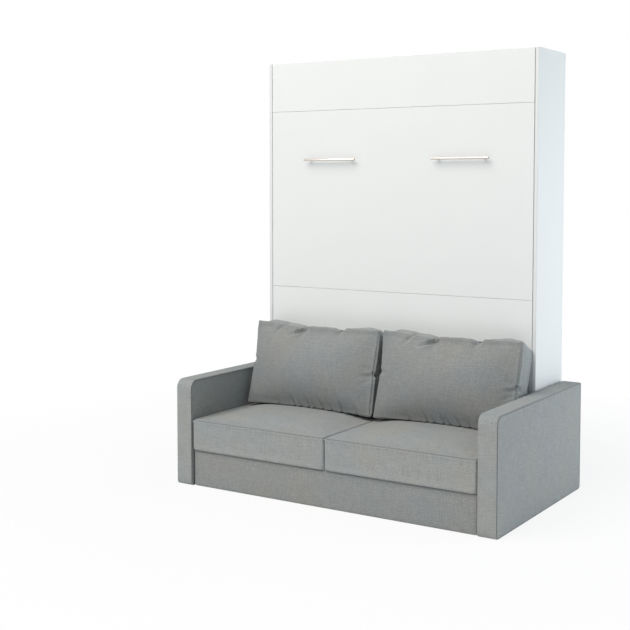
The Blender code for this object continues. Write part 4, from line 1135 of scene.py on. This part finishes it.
    def round_band(self, piece, bulge, middle_x, half_width):
        """Fills the right band between its two seams."""
        points = read_points(piece.data)
        across, up, back = self.measure(points, middle_x, half_width)
        depth = np.clip(back / self.THICKNESS, 0, 1)
        rounded = np.sin(math.pi * np.clip(up, 0, 1) ** self.BELLY_LEVEL) ** 0.35
        near_band = np.clip((across - 0.90) / 0.08, 0, 1)
        points[:, 0] += bulge * np.sin(math.pi * depth) ** 0.28 * rounded * near_band
        write_points(piece.data, points)

    def rim(self, outline, depth, shape, middle_x, half_width, half_height):
        """The line that the front or rear seam follows."""
        line = []
        for x, z in outline:
            across, up = (x / half_width + 1) / 2, (z / half_height + 1) / 2
            side = 2 * across - 1
            rise = np.interp(across, *np.array(self.HEAD_RIM).T) * max(0, 2 * up - 1) ** 8
            inset = (np.interp(up, *np.array(self.LEFT_RIM).T) * max(0, -side) ** 8
                     - np.interp(up, *np.array(self.RIGHT_RIM).T) * max(0, side) ** 8
                     - shape.rear_taper * (1 - depth) * max(0, side) ** 4)
            foot = (shape.foot_arch * (1 - side ** 2) - self.FOOT_DROP) * max(0, 1 - 2 * up) ** 4
            rise += self.HEAD_RISE * up * depth + foot
            line.append(back_point(across + inset / (2 * half_width), up + rise / (2 * half_height),
                                   depth, middle_x, half_width))
        return line

    def fold(self, cover, spots, place, width, depth, shade_paint):
        """Creases the cover between two spots that are given by their shares, with painted shade in the
        crease.
        """
        start, end = lay_on(cover, [back_point(*spot, *place) for spot in spots])
        crease(cover, start, end, (0, *self.AXES[1]), width, depth, shade_paint=shade_paint)

    def execute(self, context):
        shape = context.scene.bed_sofa_shape
        low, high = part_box("back_cushion_left")
        half_width = (high.x - low.x) / 2
        place = (low.x + high.x) / 2, half_width
        height = BACK_HEAD_FRONT - BACK_FOOT_FRONT
        half_height = height.length / 2
        outline = rounded_loop(half_width, half_height, 0.005, 0.004)
        seams = [self.rim(outline, depth, shape, *place, half_height) for depth in (1.0, 0.0)]
        cover = copy_node("back_cushion_left", "back_cover_left")
        upward = Vector((0, height.x, height.y)).normalized()
        sharpen_corners(cover, back_point(0.5, 0.5, 0.5, *place), ((1, 0, 0), upward),
                        (half_width, half_height), before=0.022, after=0.006)
        take_in(cover, 0.002)
        remesh(cover, shape.cloth_cell)
        rims = [point for seam in seams for point in lay_on(cover, seam)]
        inflate(cover, shape.fill_pressure, shape.fill_reach, distances(cover, rims) < 0.0045)
        self.swell(cover, shape, *place)
        subdivide(cover)
        reach_out(cover, seams[0] + seams[1], 0.016)
        self.round_band(cover, shape.band_bulge, *place)
        # Pinches and gathers, with painted shade in their valleys that grows with their depth
        for start, end, width, share in self.PINCHES:
            self.fold(cover, (start, end), place, width, shape.pinch_depth * share, 0.35 * share ** 2)
        for across, top, share in self.GATHERS:
            spots = ((across, 0.0, 0.9), (across - 0.18 * top, top, 1.0))
            self.fold(cover, spots, place, 0.0085, shape.gather_depth * share, 0.2 * share)
        room = self.ROOM
        press(cover,
              Vector((low.x - room["left"], low.y - room["front"], BACK_FOOT_FRONT.y - room["foot"])),
              Vector((high.x + room["right"], high.y, high.z + room["head"])), give=0.003)
        # Painted shade over the faces that look forward, darker towards the foot
        _, up, _ = self.measure(read_points(cover.data), *place)
        plain, lower = self.FRONT_SHADE
        faces_front = np.clip(-read_normals(cover.data)[:, 1], 0, 1)
        add_painted_shade(cover.data, faces_front * (plain + lower * np.clip(1 - up, 0, 1) ** 2))
        welts = []
        for index, seam in enumerate(seams):
            track = even_out(lay_on(cover, seam), 2)
            refine(cover, track, 0.011)
            if index == 0:
                refine(cover, track, 0.005)
            # Each seam is drawn in, with painted shade along its line
            draw_in(cover, track, SEAM_WIDTH, shape.seam_depth, ridge=0.5, shade_paint=0.75)
            laid = lay_on(cover, track, shape.welt_radius * 0.2)
            welts.append(weave_track(f"welt_{index}", even_out(laid, 2), shape.welt_radius * 1.4))
        smooth_all(cover)
        lay_cloth(cover)
        welt = join_pieces(welts, "back_welt_left")
        lay_cloth(welt)
        shift = Vector((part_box("back_cushion_right")[0].x - low.x, 0, 0))
        twin = copy_piece(cover, "back_cover_right", shift)
        twin_welt = copy_piece(welt, "back_welt_right", shift)
        for name, piece, line in (("left", cover, welt), ("right", twin, twin_welt)):
            dress(piece, "grey_fabric", "cushion_" + name, "back_cushion_" + name)
            dress(line, "grey_fabric", "cushion_" + name)
        return {'FINISHED'}


class WALLBED_OT_arms(bpy.types.Operator):
    """Upholstered arms with a sewn line and a raised fold along the edges of both sides"""
    bl_idname = "wallbed.arms"
    bl_label = "Arms"

    # Rounding of the upper edge at the front and at the rear: radius and segments
    FRONT_ROUND = (0.046, 12)
    REAR_ROUND = (0.014, 5)
    # How far the padding swells out of a side, and how far a side's folds lie inside the solid
    PUFF = 0.0042
    SINK = 0.0030
    # Distance between the points of a stitch line
    STITCH_PITCH = 0.002
    # How much painted shade lies on the inner side
    INNER_SHADE = 0.15

    def execute(self, context):
        shape = context.scene.bed_sofa_shape
        low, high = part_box("arm_left")
        cover = add_block("arm_cover_left", low, high)
        for corner_y, radius, segments in ((low.y, *self.FRONT_ROUND), (high.y, *self.REAR_ROUND)):
            pick_edges(cover, lambda spot, run: abs(run.x) > 0.9 and spot.z > high.z - 0.001
                       and abs(spot.y - corner_y) < 0.001)
            bpy.ops.mesh.bevel(offset=radius, segments=segments, affect='EDGES')
            close_edit()
        stitches = []
        seam = shape.seam_depth
        fold = shape.fold_height
        # Width and lift of the strips from the edge inwards: rim, stitch line, the fold's rise, top and
        # slope, and the start of the padding
        strips = ((0.0024, 0), (0.0016, -seam), (0.0016, seam + fold), (0.0030, 0), (0.0020, -fold),
                  (0.0060, 0))
        for sense in (-1, 1):
            pick_faces(cover, lambda spot, normal: normal.x * sense > 0.99)
            for width, lift in strips:
                bpy.ops.mesh.inset(thickness=width, depth=lift)
                if lift == -seam:
                    close_edit()
                    face = next(face for face in cover.data.polygons if face.select)
                    ring = [cover.data.vertices[index].co.copy() for index in face.vertices]
                    for start, end in zip(ring, ring[1:] + ring[:1]):
                        count = max(1, round((end - start).length / self.STITCH_PITCH))
                        stitches.extend(start.lerp(end, part / count) for part in range(count))
                    bpy.ops.object.mode_set(mode='EDIT')
            close_edit()
        grid_cuts(cover, 0, (low.x + 0.0045, high.x - 0.0045))
        grid_cuts(cover, 1, steps_between(low.y, high.y, PADDING_PITCH))
        grid_cuts(cover, 2, steps_between(low.z, high.z, PADDING_PITCH))
        points = read_points(cover.data)
        shares = []
        for axis in (1, 2):
            middle = (low[axis] + high[axis]) / 2
            half = (high[axis] - low[axis]) / 2 - 0.020
            shares.append(np.clip(np.abs(points[:, axis] - middle) / half, 0, 1))
        puff = self.PUFF * (1 - shares[0] ** 6) * (1 - shares[1] ** 6)
        rim = fold + self.SINK
        for face, sense in ((low.x, -1), (high.x, 1)):
            side = sense * (points[:, 0] - face) > -0.004
            points[side, 0] += sense * (puff[side] - rim)
        write_points(cover.data, points)
        subdivide(cover)
        refine(cover, stitches, 0.004)
        # Paints shade along the stitch line, without drawing the cover in any further
        draw_in(cover, stitches, 0.0030, 0.0, shade_paint=0.85)
        # Painted shade on the inner side, which faces +X on this left arm
        add_painted_shade(cover.data, self.INNER_SHADE * np.clip(read_normals(cover.data)[:, 0], 0, 1))
        smooth_all(cover)
        lay_cloth(cover)
        twin = copy_piece(cover, "arm_cover_right", mirror=True)
        for name, piece in (("left", cover), ("right", twin)):
            dress(piece, "grey_fabric", "root", "arm_" + name)
        return {'FINISHED'}


class WALLBED_OT_base_front(bpy.types.Operator):
    """Upholstered front board of the sofa's base"""
    bl_idname = "wallbed.base_front"
    bl_label = "Base front"

    # Gap to each arm, how far the padding swells out and how much painted shade lies evenly over the cover
    GAP = 0.0015
    PUFF = 0.002
    SHADE = 0.17

    def execute(self, context):
        low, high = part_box("base_front")
        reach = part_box("arm_right")[0].x - self.GAP
        cover = copy_node("base_front", "base_cover")
        open_edit(cover)
        bpy.ops.mesh.dissolve_limited(angle_limit=math.radians(0.5))
        close_edit()
        fit_to(cover, (-reach,), (reach,), (0,))
        grid_cuts(cover, 0, steps_between(-reach, reach, PADDING_PITCH))
        grid_cuts(cover, 2, steps_between(low.z, high.z, PADDING_PITCH))
        points = read_points(cover.data)
        front = np.abs(points[:, 1] - low.y) < ON_FACE
        middle, half = (low.z + high.z) / 2, (high.z - low.z) / 2
        share_x = np.clip(np.abs(points[:, 0]) / (reach - 0.01), 0, 1)
        share_z = np.clip(np.abs(points[:, 2] - middle) / (half - 0.008), 0, 1)
        puff = self.PUFF * (1 - share_x ** 8) * (1 - share_z ** 4)
        points[front, 1] -= puff[front]
        write_points(cover.data, points)
        subdivide(cover)
        smooth_by_angle(cover, 40)
        lay_cloth(cover)
        # Painted shade, even over the whole cover
        store_painted_shade(cover.data, np.full(len(cover.data.vertices), self.SHADE))
        dress(cover, "grey_fabric", "root", "base_front")
        return {'FINISHED'}


class WALLBED_OT_mattress(bpy.types.Operator):
    """Quilted mattress with a taped edge round each face"""
    bl_idname = "wallbed.mattress"
    bl_label = "Mattress"

    # Distance between the cuts over the faces, and how far in from the corners they start
    PITCH = 0.034
    CORNER = 0.06
    # Radius of the edges round both faces, and how far in from them the quilting reaches its full depth
    EDGE = 0.018
    QUILT_START = 0.05
    # Radius of the edge tapes, how far they lie inside the solid's box and the radius of their corners
    TAPE_RADIUS = 0.0046
    TAPE_INSET = 0.0055
    TAPE_CORNER = 0.055

    def execute(self, context):
        shape = context.scene.bed_sofa_shape
        low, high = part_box("mattress")
        middle = (low + high) / 2
        cover = copy_node("mattress", "mattress_cover")
        open_edit(cover)
        bpy.ops.mesh.dissolve_limited(angle_limit=math.radians(0.5))
        close_edit()
        for axis, margin in ((0, self.CORNER), (2, self.CORNER), (1, self.EDGE)):
            grid_cuts(cover, axis, steps_between(low[axis] + margin, high[axis] - margin, self.PITCH))
        subdivide(cover)
        points = read_points(cover.data)
        for face, sense in ((low.y, 1), (high.y, -1)):
            flat = np.abs(points[:, 1] - face) < 0.0006
            across = points[flat, 0] / shape.quilt_pitch
            along = (points[flat, 2] - middle.z) / shape.quilt_pitch
            cushion = np.abs(np.sin(math.pi * (across + along)) * np.sin(math.pi * (across - along)))
            inside = np.minimum(high.x - self.EDGE - np.abs(points[flat, 0]),
                                (high.z - low.z) / 2 - self.EDGE - np.abs(points[flat, 2] - middle.z))
            share = np.clip(inside / self.QUILT_START, 0, 1)
            points[flat, 1] += sense * shape.quilt_depth * (1 - share * cushion ** 0.4)
        write_points(cover.data, points)
        subdivide(cover)
        smooth_all(cover)
        lay_cloth(cover)
        half_x = (high.x - low.x) / 2 - self.TAPE_INSET
        half_z = (high.z - low.z) / 2 - self.TAPE_INSET
        outline = rounded_loop(half_x, half_z, self.TAPE_CORNER, 0.012)
        tapes = []
        for index, level in enumerate((low.y + self.TAPE_INSET, high.y - self.TAPE_INSET)):
            track = [Vector((middle.x + x, level, middle.z + z)) for x, z in outline]
            tapes.append(weave_track(f"tape_{index}", track, self.TAPE_RADIUS, rings=3))
        tape = join_pieces(tapes, "mattress_tape")
        lay_cloth(tape)
        dress(cover, "mattress_ticking", "bed", "mattress")
        dress(tape, "mattress_ticking", "bed")
        return {'FINISHED'}


class WALLBED_OT_strap(bpy.types.Operator):
    """Webbing strap over the mattress, with a foot on each side rail"""
    bl_idname = "wallbed.strap"
    bl_label = "Mattress strap"

    THICKNESS = 0.0015
    # Radius of its bends, and how many points lie across its width
    BEND = 0.006
    COLUMNS = 5

    def execute(self, context):
        low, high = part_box("mattress_strap")
        top = high.y - self.THICKNESS / 2
        foot = low.y + self.THICKNESS / 2
        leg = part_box("mattress")[1].x + 0.001
        bend = self.BEND
        path = [Vector((high.x, foot))]
        for centre, start, sense in ((Vector((leg + bend, foot + bend)), 1.5, -1),
                                     (Vector((leg - bend, top - bend)), 0.0, 1)):
            for step in range(6):
                angle = math.pi * (start + sense * 0.5 * step / 5)
                path.append(centre + bend * Vector((math.cos(angle), math.sin(angle))))
        path.extend(Vector((leg - bend - 0.05 * step, top)) for step in range(1, 13))
        whole = path + [Vector((-spot.x, spot.y)) for spot in reversed(path)]
        settle()
        bpy.ops.mesh.primitive_plane_add(size=1)
        band = take("strap_band")
        open_edit(band, 'VERT')
        bpy.ops.mesh.delete(type='VERT')
        close_edit()
        columns = self.COLUMNS
        corners = []
        for spot in whole:
            for column in range(columns):
                corners.append((spot.x, spot.y, low.z + (high.z - low.z) * column / (columns - 1)))
        faces = []
        for row in range(len(whole) - 1):
            for column in range(columns - 1):
                first = row * columns + column
                faces.append((first, first + 1, first + columns + 1, first + columns))
        band.data.from_pydata(corners, [], faces)
        apply_modifier(band, 'SOLIDIFY', thickness=self.THICKNESS, offset=0.0)
        open_edit(band)
        bpy.ops.mesh.normals_make_consistent(inside=False)
        close_edit()
        smooth_by_angle(band)
        lay_cloth(band)
        dress(band, "strap_webbing", "bed", "mattress_strap")
        return {'FINISHED'}


class WALLBED_OT_handles(bpy.types.Operator):
    """Bar handles with turned ends, each on two posts"""
    bl_idname = "wallbed.handles"
    bl_label = "Handles"

    # Rounding of the bars' ends, how far behind a bar's middle its posts end and the rim on their feet
    END_ROUND = 0.0011
    POST_END = 0.003
    FOOT_RIM = 0.0006

    def execute(self, context):
        for name, _ in SIDES:
            low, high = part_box("handle_bar_" + name)
            middle = (low + high) / 2
            bar = add_rod("handle_rod_" + name, (low.x, middle.y, middle.z), (high.x, middle.y, middle.z),
                          (high.z - low.z) / 2)
            pick_edges(bar, lambda spot, run: abs(abs(spot.x - middle.x) - (high.x - low.x) / 2) < ON_FACE)
            bpy.ops.mesh.bevel(offset=self.END_ROUND, segments=3, affect='EDGES')
            close_edit()
            smooth_by_angle(bar, 40)
            dress(bar, "handle_steel", "bed", "handle_bar_" + name)
            for end in ("inner", "outer"):
                node = f"handle_post_{name}_{end}"
                post_low, post_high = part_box(node)
                centre = (post_low + post_high) / 2
                post = add_rod(f"handle_foot_{name}_{end}", (centre.x, post_high.y, centre.z),
                               (centre.x, middle.y + self.POST_END, centre.z),
                               (post_high.x - post_low.x) / 2, 32)
                pick_faces(post, lambda spot, normal: normal.y > 0.9)
                bpy.ops.mesh.inset(thickness=self.FOOT_RIM)
                close_edit()
                smooth_by_angle(post, 40)
                dress(post, "handle_steel", "bed", node)
        return {'FINISHED'}


class WALLBED_OT_screws(bpy.types.Operator):
    """Screw heads on the brackets and plates"""
    bl_idname = "wallbed.screws"
    bl_label = "Screws"

    # Size of a head, rounding of its edge, and the rim and depth of its socket
    HEIGHT = 0.0018
    RADIUS = 0.0042
    EDGE_ROUND = 0.0011
    SOCKET_RIM = 0.0011
    SOCKET_DEPTH = 0.0010

    def add_head(self):
        """One screw head with a socket, at the origin and facing up."""
        head = add_rod("screw", (0, 0, 0), (0, 0, self.HEIGHT), self.RADIUS, 24)
        pick_edges(head, lambda spot, run: spot.z > self.HEIGHT - 0.0001)
        bpy.ops.mesh.bevel(offset=self.EDGE_ROUND, segments=3, affect='EDGES')
        close_edit()
        pick_faces(head, lambda spot, normal: normal.z > 0.9 and spot.xy.length < 0.0005)
        bpy.ops.mesh.inset(thickness=self.SOCKET_RIM)
        bpy.ops.mesh.extrude_region_move(TRANSFORM_OT_translate={"value": (0, 0, -self.SOCKET_DEPTH)})
        close_edit()
        smooth_by_angle(head, 30)
        return head

    def find_places(self):
        """Where the heads sit, the way that they face and the body that they are on."""
        places = []
        for name, side in SIDES:
            inward, outward = Vector((-side, 0, 0)), Vector((side, 0, 0))
            # Fittings on the cabinet's sides: box, plate's thickness, margins at the front, rear and ends
            for (low, high), thickness, front, rear, end in (
                    (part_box("pivot_bracket_" + name), 0.002, 0.050, 0.012, 0.014),
                    (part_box("spring_mount_" + name), 0.003, 0.011, 0.011, 0.011)):
                plate = side * (max(abs(low.x), abs(high.x)) - thickness)
                for y in (low.y + front, high.y - rear):
                    for z in (low.z + end, high.z - end):
                        places.append((Vector((plate, y, z)), inward, "root"))
            low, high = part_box("wall_bracket_" + name)
            plate = side * (max(abs(low.x), abs(high.x)) - 0.003)
            inner = low.x if side > 0 else high.x
            for z in (low.z + 0.016, high.z - 0.016):
                rear = Vector((inner + side * 0.014, high.y - 0.003, z))
                places.append((Vector((plate, low.y + 0.014, z)), inward, "root"))
                places.append((rear, Vector((0, -1, 0)), "root"))
            # Fittings on the bed's side rails, with the heads on the plates' outer faces
            plate = side * (abs(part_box("bed_rail_" + name)[0 if side < 0 else 1].x) + 0.0053)
            low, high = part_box("hinge_plate_" + name)
            for z in (low.z + 0.020, low.z + 0.110, high.z - 0.020, high.z - 0.080):
                places.append((Vector((plate, low.y + 0.012, z)), outward, "bed"))
            low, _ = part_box("leg_bracket_" + name)
            for z in (low.z + 0.020, low.z + 0.060, low.z + 0.100):
                places.append((Vector((plate, low.y + 0.012, z)), outward, "bed"))
        return places

    def execute(self, context):
        head = self.add_head()
        by_body = {}
        for spot, facing, body in self.find_places():
            activate(head)
            bpy.ops.object.duplicate(linked=False)
            screw = bpy.context.active_object
            screw.location = spot
            screw.rotation_euler = facing.to_track_quat('Z', 'Y').to_euler()
            bpy.ops.object.transform_apply(location=True, rotation=True, scale=True)
            by_body.setdefault(body, []).append(screw)
        for body, screws in by_body.items():
            dress(join_pieces(screws, "screws_" + body), "zinc_steel", body)
        bpy.data.objects.remove(head)
        return {'FINISHED'}


def add_lamp(name, power, place, target, size, colour):
    """A large soft lamp that faces a point."""
    lamp = bpy.data.lights.new(name, 'AREA')
    lamp.shape = 'RECTANGLE'
    lamp.size, lamp.size_y = size
    lamp.energy = power
    lamp.color = colour
    holder = bpy.data.objects.new(name, lamp)
    holder.location = place
    holder.rotation_euler = (Vector(target) - Vector(place)).to_track_quat('-Z', 'Y').to_euler()
    bpy.context.scene.collection.objects.link(holder)


def seen_directly(tree):
    """1 for rays from the camera and for those that come by gloss or glass."""
    path = lay(tree, 'ShaderNodeLightPath')
    seen = reckon(tree, 'MAXIMUM', path.outputs["Is Camera Ray"], path.outputs["Is Glossy Ray"])
    return reckon(tree, 'MAXIMUM', seen, path.outputs["Is Transmission Ray"])


class WALLBED_OT_stage(bpy.types.Operator):
    """White floor and surroundings, soft lamps and the camera"""
    bl_idname = "wallbed.stage"
    bl_label = "Stage"

    # Lamps: place, the point that they face, width and height, colour
    LAMPS = {
        "front_lamp": ((-1.8, -5.8, 8.0), (0, 0, 0.8), (9.0, 7.0), (1.0, 0.93, 0.87)),
        "side_lamp": ((4.4, 2.7, 1.2), (0.8, 0, 0.6), (3.0, 2.2), (0.94, 0.97, 1.0)),
    }
    DOME_COLOUR = (0.66, 0.87, 1.0, 1)
    # How far from the middle the floor starts and ends to turn from its shaded grey to plain white
    FLOOR_FADE = (1.2, 3.2)

    def execute(self, context):
        stage = context.scene.bed_sofa_stage
        settle()
        bpy.ops.mesh.primitive_plane_add(size=60, location=(0, 0, 0))
        floor = take("floor")
        material = bpy.data.materials.new("floor_white")
        material.use_nodes = True
        tree = material.node_tree
        tree.nodes.remove(tree.nodes["Principled BSDF"])
        matt = lay(tree, 'ShaderNodeBsdfDiffuse', {"Color": (0.90, 0.90, 0.90, 1)})
        glow = lay(tree, 'ShaderNodeEmission', {"Color": (1, 1, 1, 1), "Strength": 1.0})
        place = lay(tree, 'ShaderNodeTexCoord').outputs["Object"]
        reach = lay(tree, 'ShaderNodeVectorMath', {0: place}, operation='LENGTH').outputs["Value"]
        near, far = self.FLOOR_FADE
        fade = lay(tree, 'ShaderNodeMapRange', {"Value": reach, 1: near, 2: far, 3: 0.85, 4: 1.0})
        share = reckon(tree, 'MULTIPLY', seen_directly(tree), fade.outputs[0])
        mix = lay(tree, 'ShaderNodeMixShader', {0: share, 1: matt.outputs[0], 2: glow.outputs[0]})
        tree.links.new(mix.outputs[0], tree.nodes["Material Output"].inputs[0])
        floor.data.materials.append(material)
        world = bpy.data.worlds.new("surroundings")
        world.use_nodes = True
        tree = world.node_tree
        dome = tree.nodes["Background"]
        dome.inputs[0].default_value = self.DOME_COLOUR
        dome.inputs[1].default_value = stage.dome
        white = lay(tree, 'ShaderNodeBackground', {0: (1, 1, 1, 1), 1: 1.0})
        seen = seen_directly(tree)
        mix = lay(tree, 'ShaderNodeMixShader', {0: seen, 1: dome.outputs[0], 2: white.outputs[0]})
        tree.links.new(mix.outputs[0], tree.nodes["World Output"].inputs[0])
        context.scene.world = world
        for name, power in (("front_lamp", stage.key), ("side_lamp", stage.fill)):
            add_lamp(name, power, *self.LAMPS[name])
        lens = bpy.data.cameras.new("camera")
        lens.sensor_width = 36
        lens.lens = stage.camera_lens
        lens.shift_y = stage.camera_shift
        camera = bpy.data.objects.new("camera", lens)
        camera.location = stage.camera_place
        camera.rotation_euler = Euler(stage.camera_turn)
        context.scene.collection.objects.link(camera)
        context.scene.camera = camera
        context.scene.view_settings.view_transform = 'Standard'
        return {'FINISHED'}


OPERATORS = (
    WALLBED_OT_finishes,
    WALLBED_OT_fronts,
    WALLBED_OT_seat_cushions,
    WALLBED_OT_back_cushions,
    WALLBED_OT_arms,
    WALLBED_OT_base_front,
    WALLBED_OT_mattress,
    WALLBED_OT_strap,
    WALLBED_OT_handles,
    WALLBED_OT_screws,
    WALLBED_OT_stage,
)
GROUPS = (
    (BedSofaShape, "bed_sofa_shape"),
    (BedSofaFinish, "bed_sofa_finish"),
    (BedSofaStage, "bed_sofa_stage"),
)


class WALLBED_PT_panel(bpy.types.Panel):
    """The operators and the sizes that they read"""
    bl_idname = "WALLBED_PT_panel"
    bl_label = "Wall Bed with Sofa"
    bl_space_type = 'VIEW_3D'
    bl_region_type = 'UI'
    bl_category = "Wall Bed"

    def draw(self, context):
        for group, attribute in GROUPS:
            box = self.layout.box()
            for name in group.__annotations__:
                box.prop(getattr(context.scene, attribute), name)
        for operator in OPERATORS:
            self.layout.operator(operator.bl_idname)


def register():
    for group, attribute in GROUPS:
        bpy.utils.register_class(group)
        setattr(bpy.types.Scene, attribute, bpy.props.PointerProperty(type=group))
    for operator in OPERATORS:
        bpy.utils.register_class(operator)
    bpy.utils.register_class(WALLBED_PT_panel)


def unregister():
    bpy.utils.unregister_class(WALLBED_PT_panel)
    for operator in reversed(OPERATORS):
        bpy.utils.unregister_class(operator)
    for group, attribute in reversed(GROUPS):
        delattr(bpy.types.Scene, attribute)
        bpy.utils.unregister_class(group)


def main():
    """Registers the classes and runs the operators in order."""
    register()
    for operator in OPERATORS:
        module, name = operator.bl_idname.split(".")
        getattr(getattr(bpy.ops, module), name)()


if __name__ == "__main__":
    main()
